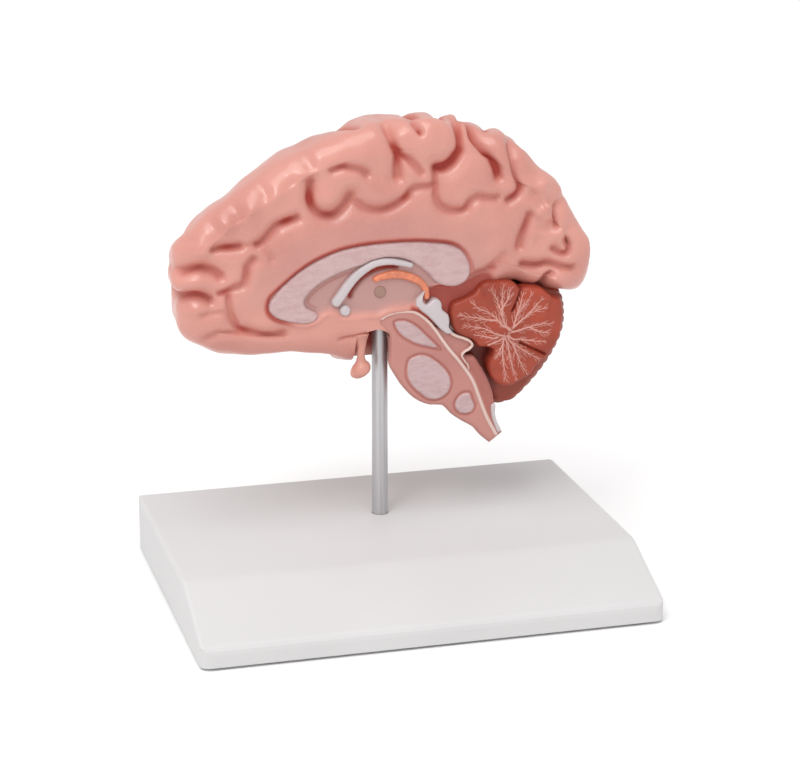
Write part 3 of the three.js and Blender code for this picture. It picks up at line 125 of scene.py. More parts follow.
def add_light(name, kind, settings, place, target=(0.0, 0.0, 0.0)):
    """A light that shines from a place towards a target."""
    data = bpy.data.lights.new(name, kind)
    for key, value in settings.items():
        setattr(data, key, value)
    light = bpy.data.objects.new(name, data)
    light.location = place
    light.rotation_euler = (Vector(target) - Vector(place)).to_track_quat("-Z", "Y").to_euler()
    bpy.context.collection.objects.link(light)
    print("light", name, "of", data.energy)


def add_world(level):
    """Even white light from all sides."""
    world = bpy.data.worlds.new("studio")
    world.use_nodes = True
    background = world.node_tree.nodes["Background"]
    background.inputs["Color"].default_value = (1.0, 1.0, 1.0, 1.0)
    background.inputs["Strength"].default_value = level
    bpy.context.scene.world = world


add_world(WORLD_LEVEL)
add_light("sky", "SUN", SUN, SUN_PLACE)
add_light("key", "AREA", LAMP, LAMP_PLACE, LAMP_TARGET)
bpy.context.scene.view_settings.view_transform = "Standard"

# %% [markdown]
# ## From arrays to pieces
#
# Blender's modelling tools are made for a hand and a mouse. Here every shape is worked out as an array of
# points and arrays of faces instead, and a few helpers turn them into a mesh and an object. Each array goes
# in with one call, which is far quicker than one point at a time, and the shape stays a formula to read.

# %% A mesh from arrays


def new_mesh(name, points, faces, attributes=None):
    """A mesh from points in millimetres in the brain's frame, and arrays of faces."""
    mesh = bpy.data.meshes.new(name)
    points = np.asarray(points, float)
    sizes = np.concatenate([np.full(len(f), f.shape[1]) for f in faces])
    mesh.vertices.add(len(points))
    mesh.vertices.foreach_set("co", (points * MM).astype(np.float32).ravel())
    mesh.loops.add(int(sizes.sum()))
    mesh.loops.foreach_set("vertex_index", np.concatenate([f.ravel() for f in faces]).astype(np.int32))
    mesh.polygons.add(len(sizes))
    mesh.polygons.foreach_set("loop_start", np.concatenate([[0], np.cumsum(sizes)[:-1]]).astype(np.int32))
    mesh.update(calc_edges=True)
    mesh.validate()
    for key, values in (attributes or {}).items():
        layer = mesh.attributes.new(key, "FLOAT", "POINT")
        layer.data.foreach_set("value", np.asarray(values, np.float32))
    return mesh


def in_brain(points):
    """Points of the brain's frame in the object's frame."""
    return np.asarray(points, float) + BRAIN_PLACE


print("the brain's origin in the object's frame:", in_brain([0, 0, 0]).round(2), "mm")

# %% A piece from a mesh


def add_object(name, mesh, material, body=None):
    """An object at the origin with smooth shading, which rides on its body."""
    made = bpy.data.objects.new(name, mesh)
    bpy.context.collection.objects.link(made)
    if material:
        mesh.materials.clear()
        mesh.materials.append(material)
    mesh.polygons.foreach_set("use_smooth", np.ones(len(mesh.polygons), bool))
    if body:
        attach(made, body)
    return made


def sharpen(made, degrees):
    """Smooth shading except at edges sharper than the angle."""
    made.data.set_sharp_from_angle(angle=math.radians(degrees))


def tell(piece):
    """Prints the number of a piece's faces and its size."""
    width, depth, height = np.ptp(np.array(piece.bound_box), axis=0) / MM
    faces = len(piece.data.polygons)
    print(f"{piece.name}: {faces} faces, {width:.1f} x {depth:.1f} x {height:.1f} mm")


tell(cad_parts["base_shell"])

# %% [markdown]
# ## Shader maths
#
# A finish is made of nodes, and wiring them one by one hides what they say. The first class wraps a socket,
# so that a sum of two noises reads as a plain sum. The second one is a material that makes every other node
# through one method, from the node's type, its settings and the values or links of its sockets.

# %% A value in a shader


class Value:
    """A shader socket that can be added, multiplied, narrowed and used to choose between colours."""

    def __init__(self, paint, socket):
        self.paint = paint
        self.socket = socket

    def maths(self, operation, other):
        return self.paint.node("ShaderNodeMath", {"operation": operation}, {0: self, 1: other})

    def __add__(self, other):
        return self.maths("ADD", other)

    def __mul__(self, other):
        return self.maths("MULTIPLY", other)

    __radd__ = __add__
    __rmul__ = __mul__

    def clamp(self, low, high, new_low=0.0, new_high=1.0):
        """Goes smoothly from new_low to new_high as this goes from low to high."""
        ends = {"From Min": low, "From Max": high, "To Min": new_low, "To Max": new_high}
        smooth = {"interpolation_type": "SMOOTHSTEP"}
        return self.paint.node("ShaderNodeMapRange", smooth, {"Value": self, **ends}, "Result")

    def choose(self, low, high):
        """The colour low where this is 0 and high where it is 1."""
        # The two colours and their mix have no names of their own on this node, only these places
        first, second, result = 6, 7, 2
        colours = {"Factor": self, first: low, second: high}
        return self.paint.node("ShaderNodeMix", {"data_type": "RGBA"}, colours, result)


print("a value can do:", [name for name in vars(Value) if not name.startswith("__")])

# %% A finish


class Paint:
    """A material with one shader, and the fields that its colour, roughness and bumps are made from."""

    def __init__(self, name):
        self.material = bpy.data.materials.new(name)
        self.material.use_nodes = True
        self.tree = self.material.node_tree
        self.shader = self.tree.nodes["Principled BSDF"]
        self.place = self.node("ShaderNodeTexCoord", {}, {}, "Object")

    def node(self, kind, settings, sockets, output=0):
        """Makes any node, its settings first and then its sockets, and gives the value of one output."""
        made = self.tree.nodes.new(kind)
        for key, value in settings.items():
            setattr(made, key, value)
        for key, value in sockets.items():
            self.feed(made.inputs[key], value)
        return Value(self, made.outputs[output])

    def feed(self, slot, item):
        """Links a Value to a socket, or sets the socket to a plain value."""
        if isinstance(item, Value):
            self.tree.links.new(item.socket, slot)
        else:
            slot.default_value = item

    def set(self, **values):
        """Sets or links sockets of the material's one shader."""
        for key, value in values.items():
            self.feed(self.shader.inputs[key.replace("_", " ")], value)

    def noise(self, per_metre, detail=2.0, roughness=0.5, stretch=None, turn=(0, 0, 0)):
        """Cloudy noise with so many clouds to a metre, drawn out along an axis where stretch is below 1."""
        place = self.place
        if stretch:
            place = self.node("ShaderNodeMapping", {}, {"Vector": place, "Scale": stretch, "Rotation": turn})
        sockets = {"Vector": place, "Scale": per_metre, "Detail": detail, "Roughness": roughness}
        return self.node("ShaderNodeTexNoise", {}, sockets, "Fac")

    def field(self, name):
        """The numbers that a mesh carries at its points under this name."""
        return self.node("ShaderNodeAttribute", {"attribute_name": name}, {}, "Fac")

    def bump(self, height, millimetres):
        """Bumps as high as this many millimetres where height is 1."""
        sockets = {"Strength": 1.0, "Distance": millimetres * MM, "Height": height}
        self.set(Normal=self.node("ShaderNodeBump", {}, sockets, "Normal"))
        print("finish:", self.material.name, "of", len(self.tree.nodes), "nodes")
        return self.material


print("a finish is made with:", [name for name in vars(Paint) if not name.startswith("__")])

# %% [markdown]
# ## Floor
#
# Round the base the photograph shows only white, with a faint shadow. Leaving the floor out would leave the
# shadow out too. A very large, pale, dull plane renders as white, shows the shadow, and throws light back
# under the brain.

# %% Floor
FLOOR_HALF = 3000.0
FLOOR_GREYS = ((0.95, 0.95, 0.95, 1), (0.94, 0.94, 0.94, 1))


def floor_paint():
    """Dull white, a little greyer in wide clouds."""
    paint = Paint("floor_paint")
    cloud = paint.noise(3, 2).clamp(0.3, 0.7)
    paint.set(Base_Color=cloud.choose(*FLOOR_GREYS), Roughness=0.7)
    return paint.bump(paint.noise(500, 2), 0.01)


def add_floor():
    """One square at the height 0."""
    h = FLOOR_HALF
    corners = np.array([(-h, -h, 0), (h, -h, 0), (h, h, 0), (-h, h, 0)])
    floor = add_object("floor", new_mesh("floor", corners, [np.array([[0, 1, 2, 3]])]), floor_paint())


add_floor()

# %% [markdown]
# ## Base, feet and fasteners
#
# The real base is moulded in white plastic with a very fine grain. Its shell, feet, screw, washer and bush
# already have their right shapes in the frame, so they keep them and only get their finishes. A finish is a
# colour that drifts a little, a roughness that follows a fine noise, and a bump of a few hundredths of a
# millimetre, because a single flat colour looks like no real material.

# %% Colours


def srgb(r, g, b):
    """A linear colour from the 0 to 255 values of a picture."""
    c = np.array([r, g, b]) / 255.0
    linear = np.where(c <= 0.04045, c / 12.92, ((c + 0.055) / 1.055) ** 2.4)
    return (*linear.tolist(), 1.0)


def toned(colour, factor):
    """The colour made brighter or darker by a factor, as a linear one."""
    return srgb(*[min(255, c * factor) for c in colour])


print("middle grey as a linear colour:", np.round(srgb(128, 128, 128), 3))

# %% Finishes of the stand


def base_plastic():
    """White plastic, whose roughness and bumps follow a very fine grain."""
    paint = Paint("base_plastic")
    grain = paint.noise(2600, 2)
    cloud = paint.noise(14, 2).clamp(0.3, 0.7)
    paint.set(Base_Color=cloud.choose(srgb(212, 211, 211), srgb(208, 207, 207)))
    paint.set(Roughness=grain.clamp(0.3, 0.7, 0.42, 0.52), Specular_IOR_Level=0.4)
    return paint.bump(grain, 0.015)


def plated_steel():
    """Bright metal, duller in small spots."""
    paint = Paint("plated_steel")
    spots = paint.noise(500, 3)
    paint.set(Base_Color=spots.clamp(0.3, 0.7).choose(srgb(190, 190, 194), srgb(170, 170, 176)))
    paint.set(Metallic=1.0, Roughness=spots.clamp(0.3, 0.7, 0.25, 0.4))
    return paint.bump(spots, 0.01)


def foot_rubber():
    """Dull black rubber with paler specks."""
    paint = Paint("foot_rubber")
    specks = paint.noise(1800, 2)
    paint.set(Base_Color=specks.clamp(0.3, 0.7).choose(srgb(52, 52, 54), srgb(64, 63, 64)), Roughness=0.85)
    return paint.bump(specks, 0.03)


def plain_paint(name, colour, roughness=0.4, mottle=0.06, coat=0.15):
    """A coat of paint in one colour, which is darker in clouds by the share mottle."""
    paint = Paint(name)
    cloud = paint.noise(120, 3).clamp(0.3, 0.7)
    paint.set(Base_Color=cloud.choose(srgb(*colour), toned(colour, 1 - mottle)), Roughness=roughness)
    paint.set(Coat_Weight=coat, Coat_Roughness=0.25)
    return paint.bump(paint.noise(420, 3), 0.06)


print("finishes:", [way.__name__ for way in (base_plastic, plated_steel, foot_rubber, plain_paint)])

# %% Dressing the frame's own pieces


def dress(material, *nodes):
    """Gives pieces of the frame their finish."""
    for node in nodes:
        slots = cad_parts[node].data.materials
        slots.clear()
        slots.append(material)
    print(material.name, "on", ", ".join(nodes))


dress(base_plastic(), "base_shell")
dress(foot_rubber(), *[f"rubber_foot_{foot}" for foot in (1, 2, 3, 4)])
dress(plated_steel(), "rod_screw", "rod_washer")
dress(plain_paint("nylon", (222, 214, 202), 0.5, 0.03), "socket_bush")

# %% [markdown]
# ## Rod
#
# The real rod is drawn metal with a small chamfer at each end, and fine lines that run along it. A cylinder
# from the menu has no chamfer, so the rod is turned as on a lathe: a profile is carried round an axis. The
# lines are a noise that is stretched far along the rod.

# %% Rings of faces


def ring_faces(rows, columns):
    """Quads between neighbouring rows of points, each of which closes on itself."""
    r = np.arange(rows - 1)[:, None] * columns
    c = np.arange(columns)[None, :]
    n = (c + 1) % columns
    return np.stack([r + c, r + n, r + columns + n, r + columns + c], axis=-1).reshape(-1, 4)


def polar_faces(rows, columns):
    """Quads of the rings, and triangles to the first and the last point, which are single."""
    c = np.arange(columns)
    n = (c + 1) % columns
    last = 1 + rows * columns
    edge = last - columns
    low = np.stack([np.zeros_like(c), n + 1, c + 1], axis=1)
    high = np.stack([np.full_like(c, last), edge + c, edge + n], axis=1)
    return [ring_faces(rows, columns) + 1, low, high]


def with_ends(values, columns):
    """The values of all rings, with the first ring's mean before them and the last ring's after them."""
    return np.concatenate([[values[:columns].mean(0)], values, [values[-columns:].mean(0)]])


def lathe(profile, sides):
    """(points, faces) of a piece turned about a vertical axis, whose profile starts and ends on the axis."""
    profile = np.asarray(profile, float)
    turn = np.linspace(0, 2 * math.pi, sides, endpoint=False)
    rings = np.stack([
        profile[1:-1, 0][:, None] * np.cos(turn)[None, :],
        profile[1:-1, 0][:, None] * np.sin(turn)[None, :],
        np.repeat(profile[1:-1, 1][:, None], sides, axis=1),
    ], axis=-1).reshape(-1, 3)
    points = np.vstack([[0, 0, profile[0, 1]], rings, [0, 0, profile[-1, 1]]])
    return points, polar_faces(len(profile) - 2, sides)


print("a tube of 3 rings of 8 points has", len(ring_faces(3, 8)), "faces")

# %% Rod
ROD_CHAMFER = 0.6
ROD_EASE = 0.2  # from the chamfer to the full radius
ROD_SIDES = 96
ROD_CREASE = 35


def drawn_metal():
    """Dull metal with fine lines along the rod."""
    paint = Paint("drawn_metal")
    lines = paint.noise(900, 3, 0.6, stretch=(1.0, 1.0, 0.012))
    paint.set(Base_Color=lines.clamp(0.3, 0.7).choose(srgb(206, 204, 206), srgb(190, 189, 192)))
    paint.set(Metallic=0.9, Roughness=lines.clamp(0.3, 0.7, 0.42, 0.52))
    return paint.bump(lines, 0.01)


def fine_rod():
    """The rod, as half of its profile turned about its axis."""
    r = (ROD_BOX[1][0] - ROD_BOX[0][0]) / 2 / MM
    low, high = ROD_BOX[0][2] / MM, ROD_BOX[1][2] / MM
    c, near = ROD_CHAMFER, r - 0.1 * ROD_EASE
    profile = [
        (0, low), (r - c, low), (near, low + c), (r, low + c + ROD_EASE),
        (r, high - c - ROD_EASE), (near, high - c), (r - c, high), (0, high),
    ]
    points, faces = lathe(profile, ROD_SIDES)
    mesh = new_mesh("fine_rod", points + [ROD_X, ROD_Y, 0], faces)
    rod = add_object("fine_rod", mesh, drawn_metal(), "rod")
    sharpen(rod, ROD_CREASE)
    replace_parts(rod, "support_rod")
    tell(rod)


fine_rod()

# %% [markdown]
# ## Curves and distances
#
# Every edge and every furrow of the brain is a smooth curve through a few points, traced from the
# photograph and turned into millimetres. Most of its shape is then a matter of distance: a furrow is deep
# where a point is near its line, and a plate is round where a point is near its edge.

# %% Curves through points


def spline(points, closed=False, samples=12):
    """Points along a smooth curve through the given points. Each piece is a cubic, whose slopes at its two
    ends come from the neighbours, weighted by the square roots of the distances."""
    p = np.asarray(points, float)
    q = np.vstack([p[-1], p, p[0], p[1]]) if closed else np.vstack([2 * p[0] - p[1], p, 2 * p[-1] - p[-2]])
    a, b, c, d = q[:-3], q[1:-2], q[2:-1], q[3:]
    ab, bc, cd = (np.linalg.norm(e - s, axis=1)[:, None] ** 0.5 for s, e in ((a, b), (b, c), (c, d)))
    start = ((b - a) / ab - (c - a) / (ab + bc) + (c - b) / bc) * bc
    end = ((c - b) / bc - (d - b) / (bc + cd) + (d - c) / cd) * bc
    t = np.linspace(0, 1, samples, endpoint=False)[None, :, None]
    b, c, start, end = (v[:, None, :] for v in (b, c, start, end))
    curve = (
        (2 * t**3 - 3 * t**2 + 1) * b + (t**3 - 2 * t**2 + t) * start
        + (-2 * t**3 + 3 * t**2) * c + (t**3 - t**2) * end
    ).reshape(-1, p.shape[1])
    return curve if closed else np.vstack([curve, p[-1]])


TEST_RING = spline([(1, 0), (0, 1), (-1, 0), (0, -1)], closed=True)
print("a curve through 4 points of a circle keeps its radius to", np.ptp(np.hypot(*TEST_RING.T)).round(3))

# %% Even points along a curve


def lengths_along(curve):
    """Length along the curve at each of its points."""
    return np.concatenate([[0.0], np.cumsum(np.linalg.norm(np.diff(curve, axis=0), axis=1))])


def evenly(curve, step, closed=False):
    """The curve's points respaced to about one every step."""
    line = np.vstack([curve, curve[:1]]) if closed else curve
    along = lengths_along(line)
    count = max(2, int(round(along[-1] / step)))
    places = np.linspace(0, along[-1], count + 1)
    spaced = np.stack([np.interp(places, along, line[:, k]) for k in range(line.shape[1])], axis=1)
    return spaced[:-1] if closed else spaced


def outline_of(points, step=0.5):
    """A closed curve through the points, with a point about every step."""
    return evenly(spline(points, closed=True), step, closed=True)


print("the test curve, left open, is", lengths_along(TEST_RING)[-1].round(2), "mm long")

# %% Steps and bells


def smoothstep(low, high, value):
    """0 up to low, 1 from high, and a smooth slope between."""
    t = np.clip((value - low) / (high - low), 0.0, 1.0)
    return t * t * (3 - 2 * t)


def bell(distance, width):
    """1 at no distance, falling smoothly to about a third at the width and to nothing at twice that."""
    return np.exp(-((distance / width) ** 2))


print("halfway, smoothstep is", smoothstep(0, 1, 0.5), "and bell is", bell(0.5, 1).round(3))

# %% Distances
FAR = 1e9
TINY = 1e-12


def distance_to_line(p, line, reach=FAR, closed=False):
    """Distance of each point to the nearest stretch of the line, for the points within reach of its box."""
    ends = np.vstack([line, line[:1]]) if closed else line
    least = np.full(len(p), FAR)
    near = np.flatnonzero(((p > ends.min(0) - reach) & (p < ends.max(0) + reach)).all(1))
    q = p[near]
    best = least[near]
    for a, b in zip(ends[:-1], ends[1:]):
        along = b - a
        t = np.clip(((q - a) @ along) / max(along @ along, TINY), 0, 1)
        best = np.minimum(best, np.linalg.norm(q - a - t[:, None] * along, axis=1))
    least[near] = best
    return least


def inside(p, outline):
    """Whether a ray from each point to the right crosses an odd number of the outline's sides."""
    result = np.zeros(len(p), bool)
    for (ax, az), (bx, bz) in zip(outline, np.roll(outline, -1, axis=0)):
        crosses = (az > p[:, 1]) != (bz > p[:, 1])
        result ^= crosses & (p[:, 0] < (bx - ax) * (p[:, 1] - az) / (bz - az + TINY) + ax)
    return result


def depth_inside(p, outline, reach):
    """Distance of each point inwards from the outline, which is negative outside it."""
    distance = np.minimum(distance_to_line(p, outline, reach, closed=True), reach)
    return np.where(inside(p, outline), distance, -distance)


print("the test ring's middle lies", depth_inside(np.zeros((1, 2)), TEST_RING, 2).round(3), "inside it")

# %% Uneven fields
WAVE_COUNT = 7
WAVE_LENGTHS = (0.7, 1.6)
WAVE_PHASES = 6.3
WAVE_LEVEL = 3.2  # divides the sum, to bring it to about 1


def waves(p, size, seed):
    """A smooth field between about -1 and 1: the sum of waves in chance directions, about size long."""
    random = np.random.default_rng(seed)
    total = np.zeros(len(p))
    for _ in range(WAVE_COUNT):
        direction = random.normal(size=p.shape[1])
        direction /= np.linalg.norm(direction)
        length = size * random.uniform(*WAVE_LENGTHS)
        total += np.sin(p @ direction * 2 * math.pi / length + random.uniform(0, WAVE_PHASES))
    return total / WAVE_LEVEL


def lumps(p, height, size, seed):
    """Waves of a height and a size, in millimetres."""
    return height * waves(p, size, seed)


def spots_field(p, spots):
    """The sum of soft round spots, given as x, z, reach and strength."""
    total = np.zeros(len(p))
    for x, z, reach, strength in spots:
        total += strength * np.exp(-(((p[:, 0] - x) ** 2 + (p[:, 1] - z) ** 2) / reach**2))
    return total


print("waves round the test ring reach", np.abs(waves(TEST_RING, 1, 1)).max().round(2))

# %% [markdown]
# ## Form of the hemisphere
#
# The real piece is a hollow casting with a flat cut face, a rounded rim and a domed outside. It could be
# sculpted from a ball, but then its edge would never fit the photograph. Here its edge is traced once, and
# one formula sweeps it backwards: round the rim first, and then over the dome to its top.

# %% Edge of the hemisphere
HEMISPHERE_WIDTH = 57.6
RIM_RADIUS = 12.0
DOME_POWER = 2.25
LOBE_DEPTH = 34.0
FACE_CENTRE = (22.0, 42.0)
DOME_CENTRE = (-2.0, 22.0)
# From the forehead over the top, as x, z and the shift at LOBE_DEPTH
HEMISPHERE_EDGE = [
    (-77.2, 18, 0, 0), (-75.2, 25.8, 0, 0), (-70.4, 31.6, 0, 0), (-64.6, 36.6, 0, 0), (-56.6, 42, 0, 0),
    (-47, 48.8, 0, 0), (-37.4, 55.2, 0, 0), (-28, 59.8, 0, 0), (-18.6, 63.6, 0, 0), (-9.6, 66.6, 0, 0),
    (-1.6, 69.2, 0, 0), (7.2, 70.2, 0, 0), (16, 71, 0, 0), (24.6, 70.2, 0, 0), (32.6, 69, 0, 0),
    (40.4, 65.4, 0, 0), (49.8, 62, 0, 0), (56.2, 57.2, 0, 0), (61.8, 49.2, 0, 0), (68.2, 43.6, 0, 0),
    (73.8, 34.7, 0, 0), (78.4, 27, 0, 0), (83.2, 17.6, 0, 0), (82.8, 10.4, 0, 0), (78.6, 2.0, 0, 0),
    (70, 2.0, 1, 0), (60, 4.6, 3, -4), (51.6, 7, 2, -13), (40, 2, 2, -17), (28, -8, 2, -15),
    (14, -14, 0, -12), (0, -16, -4, -10), (-11, -16.4, -4, -8), (-20, -15, -4, -4), (-30.4, -15, 0, 0),
    (-42, -14.8, 0, 0), (-55, -13.2, 0, 0), (-64.6, -11, 0, 0), (-71.2, -7.2, 0, 0), (-74.8, -0.4, 0, 0),
    (-75.2, 5.4, 0, 0), (-77.2, 11.6, 0, 0),
]
print("the cut face is", np.ptp(np.array(HEMISPHERE_EDGE)[:, 0]), "mm long")

# %% Half form
FORM_SAMPLES = 24
STEP_U, STEP_V = 0.001, 0.004
TOP_V = 3


class HalfForm:
    """The skin of a half form. u runs once round its edge, and v from the face's middle (0) to the rim (1),
    round the rim (to 2), and over the dome to its top (3). The outline shrinks towards a centre, by a quarter
    circle on the rim and by a rounded power on the dome, and the centre and the edge drift with depth."""

    def __init__(self, edge, face_centre, dome_centre, front, back, rim, power, mid_depth):
        edge = np.array([(*e, 0, 0)[:4] for e in edge], float)
        inner = spline(edge[:, :2], closed=True, samples=FORM_SAMPLES)
        outer = spline(edge[:, :2] + edge[:, 2:], closed=True, samples=FORM_SAMPLES)
        self.inner = np.vstack([inner, inner[:1]])
        self.outer = np.vstack([outer, outer[:1]])
        self.along = lengths_along(self.inner)
        self.face_centre, self.dome_centre = face_centre, dome_centre
        self.front, self.back, self.rim, self.power, self.mid_depth = front, back, rim, power, mid_depth

    def edges(self, u):
        """x and z of the edge at the face, and of the edge behind it."""
        place = np.mod(u, 1.0) * self.along[-1]
        curves = (self.inner, self.outer)
        return [np.interp(place, self.along, curve[:, k]) for curve in curves for k in (0, 1)]

    def at(self, u, v):
        """The point of the skin: as far from the centre as a share of the edge's distance less an inset."""
        ix, iz, ox, oz = self.edges(u)
        rim_turn = np.clip(v - 1, 0, 1) * math.pi / 2
        dome_turn = np.clip(v - 2, 0, 1) * math.pi / 2
        height = self.back - self.front - self.rim
        rim_depth = self.front + self.rim * (1 - np.cos(rim_turn))
        depth = rim_depth + height * np.sin(dome_turn) ** (2 / self.power)
        share = np.where(v <= 1, v, np.clip(np.cos(dome_turn), 0, 1) ** (2 / self.power))
        inset = self.rim * np.where(v <= 1, v, 1 - np.sin(rim_turn))
        lowered = smoothstep(self.rim, self.mid_depth, depth)
        far = smoothstep(self.rim, self.back, depth)
        cx = self.face_centre[0] + (self.dome_centre[0] - self.face_centre[0]) * far
        cz = self.face_centre[1] + (self.dome_centre[1] - self.face_centre[1]) * far
        dx = ix + (ox - ix) * lowered - cx
        dz = iz + (oz - iz) * lowered - cz
        length = np.hypot(dx, dz)
        reach = length * share - inset
        return np.stack([cx + dx / length * reach, depth, cz + dz / length * reach], axis=-1)

    def normal(self, u, v):
        """Square to the skin, from the steps to the neighbours along u and v."""
        along_u = self.at(u + STEP_U, v) - self.at(u - STEP_U, v)
        after = np.minimum(TOP_V - STEP_U, v + STEP_V)
        before = np.maximum(STEP_U, v - STEP_V)
        n = np.cross(along_u, self.at(u, after) - self.at(u, before))
        return n / np.linalg.norm(n, axis=-1, keepdims=True)

    def spread(self, u, v):
        """The point on the dome spread flat inside the edge."""
        ix, iz, _, _ = self.edges(u)
        share = np.where(v <= 2, 1.0, 1 - (v - 2))
        cx, cz = self.dome_centre
        return np.stack([cx + (ix - cx) * share, cz + (iz - cz) * share], axis=-1)


print("a half form can give:", [name for name in vars(HalfForm) if not name.startswith("__")])

# %% Grid over a form


def grid_of(columns, rows):
    """(u, v) at every point of a grid, row by row."""
    v, u = np.meshgrid(rows, np.arange(columns) / columns, indexing="ij")
    return u.ravel(), v.ravel()


print("a grid of 4 columns and 3 rows has", len(grid_of(4, [1, 2, 3])[0]), "points")

# %% [markdown]
# ## Furrows of the cut face
#
# On the real casting the furrows are soft valleys with slightly raised lips, and they lie in wide, shallow
# hollows. Carving them by hand would have to be done again after each change of the form. As a field of
# depths over the face they can be laid on any form, and the same lines say where the red paint has gathered.

# %% Lines of the furrows
# Each as its depth, its half width and the points that it runs through
FACE_FURROWS = [
    (3.2, 2.1, [(-76, 19.4), (-73.4, 20.6), (-71, 21), (-66, 20.4), (-62.6, 19.2), (-60.3, 17.4)]),
    (2.3, 1.5, [(-62.6, 27.2), (-59.8, 27.7), (-56.2, 27.8), (-53, 27.9)]),
    (1.2, 1.5, [(-53, 27.9), (-49.8, 28.3), (-46.6, 28.4)]),
    (2.5, 1.6, [(-46.6, 28.4), (-45.1, 28.9), (-42.8, 31), (-39.1, 34.8), (-35, 36.5), (-31.8, 37.3)]),
    (1.1, 1.6, [(-45.1, 28.7), (-43.2, 25.8), (-41.4, 23)]),
    (2.2, 1.7, [(-48.1, 23), (-50.4, 20.3), (-50.9, 17.1), (-51.9, 14.1), (-55.6, 12.7), (-58.4, 11.5),
                (-60.7, 10.9)]),
    (3.2, 2.0, [(-76, 8.8), (-73.4, 9.8), (-71, 10), (-67.9, 9.6), (-64.5, 8.8)]),
    (1.3, 1.6, [(-68.1, 3), (-63.9, 3.6), (-58.8, 3.7), (-57, 2.4)]),
    (2.1, 1.6, [(-57.6, 9.6), (-57.2, 5), (-56.4, 2), (-55.3, -0.5), (-54, -2.6), (-51.8, -3.6),
                (-48, -4.7), (-44.8, -5.6), (-40.1, -6.1), (-37.3, -5.6)]),
    (1.5, 1.4, [(-54, -4.3), (-58.2, -4.1), (-62, -4.5), (-64.3, -5.7), (-66.2, -6.7)]),
    (1.4, 1.5, [(-84, 26), (-77, 28.6), (-74, 29.8), (-71.4, 31.4)]),
    (3.0, 1.9, [(-26.3, 50), (-26.5, 47.9), (-26.8, 44), (-25.7, 40.7), (-23.4, 38.4), (-20.6, 37.5),
                (-17.8, 37.7), (-15.3, 39.5), (-12.7, 42.1), (-11.6, 44.3)]),
    (2.3, 1.8, [(-12.6, 43), (-9.9, 42), (-6.6, 39.7), (-3.2, 38.7), (0.2, 38.6), (3.6, 39.5), (6.5, 41),
                (9.3, 43.1), (11.1, 45.3), (13.9, 46.2), (17.3, 46.3), (20, 46.6)]),
    (2.0, 1.5, [(-18.4, 54.2), (-14.4, 55.3), (-11.1, 54.6), (-7.7, 53.6), (-5.7, 52.1)]),
    (3.0, 2.2, [(1.4, 80), (2.5, 71.4), (4, 66.4), (5.4, 61.2), (6.5, 58.1), (6.2, 55), (6.2, 50.5)]),
    (2.4, 1.8, [(6.5, 58.1), (9.9, 56.7), (12.2, 54.6), (15.1, 51.4)]),
    (1.9, 1.0, [(11.8, 73), (12.5, 71), (13.4, 69.2), (14.8, 67)]),
    (3.4, 2.3, [(29.6, 80), (30.3, 69), (30.6, 63.2), (30, 59.3), (28.3, 56.4), (26, 54), (23.7, 52.8),
                (20.8, 52.6)]),
    (2.2, 1.7, [(20.8, 52.6), (20.2, 49.9), (20.3, 45.3), (20.4, 42), (21.9, 39), (24.2, 37.3),
                (27.6, 36.6), (31.1, 37.1), (33.5, 39.8), (36.3, 41.3), (39.5, 40.8), (43.9, 40.4)]),
    (3.3, 2.0, [(34.6, 76), (37.1, 64.9), (38.8, 61.9), (40.7, 58.1), (42.6, 54.4), (44.1, 50.6),
                (44.6, 48)]),
    (2.4, 1.6, [(51, 60), (51.3, 54.7), (51.8, 50), (52.5, 46.2), (53, 43.4), (51.8, 41.2), (48.6, 39.2)]),
    (2.4, 1.7, [(56.9, 33), (55.2, 28.6), (53.8, 24.5), (53.1, 21.2)]),
    (2.3, 1.5, [(69.4, 37), (68.4, 34.5), (67.5, 30.8), (67.5, 28.4)]),
    (2.7, 1.5, [(54.9, 14.1), (59.7, 13.5), (64.6, 14), (68.4, 12.8), (73.8, 11.6), (75.6, 11.4)]),
    (2.3, 1.4, [(66.4, 19.5), (69.4, 17.7), (71.6, 17.6), (72.8, 19.8), (72.6, 23)]),
    (1.3, 2.4, [(46.4, 18), (42.6, 14.3), (41.1, 11.3)]),
    (2.4, 1.3, [(65.6, 10.2), (63.5, 8.7), (62.4, 5)]),
    (0.9, 0.6, [(-16.4, -9.8), (-14, -9), (-10.5, -8.6), (-7, -7.9)]),
    (1.7, 1.9, [(34, 11.4), (37, 11.6), (39.7, 11.6), (43, 12.4)]),
]
print("furrows on the cut face:", len(FACE_FURROWS))

# %% Depth of the furrows
FURROW_STEP = 1.2
FURROW_REACH = 8
VALLEY = (0.85, 0.84)  # share of the depth, and width in half widths
SHOULDER = (0.7, 3.3)
LIP = (0.14, 1.0)
LIP_PLACE = 2.3
LIP_FADE = (2.2, 1.0)  # deeper than this the lips give way
FULL_PAINT_DEPTH = 2.6
FURROW_PAINT_WIDTH = 0.95


def furrow_field(p, furrows):
    """(depth, paint) of the furrows at each point. A furrow is a narrow bell on a wide one, crossing furrows
    add up as cubes, so that the deeper one rules, and a small bell beside each raises its lips."""
    cubes = np.zeros(len(p))
    lips = np.zeros(len(p))
    paint = np.zeros(len(p))
    for deep, half, points in furrows:
        line = evenly(spline(points), FURROW_STEP)
        along = distance_to_line(p, line, half * FURROW_REACH) / half
        cubes += (deep * (VALLEY[0] * bell(along, VALLEY[1]) + SHOULDER[0] * bell(along, SHOULDER[1]))) ** 3
        lips = np.maximum(lips, LIP[0] * deep * bell(along - LIP_PLACE, LIP[1]))
        paint = np.maximum(paint, min(1.0, deep / FULL_PAINT_DEPTH) * bell(along, FURROW_PAINT_WIDTH))
    valleys = np.cbrt(cubes)
    return valleys - lips * smoothstep(*LIP_FADE, valleys), paint


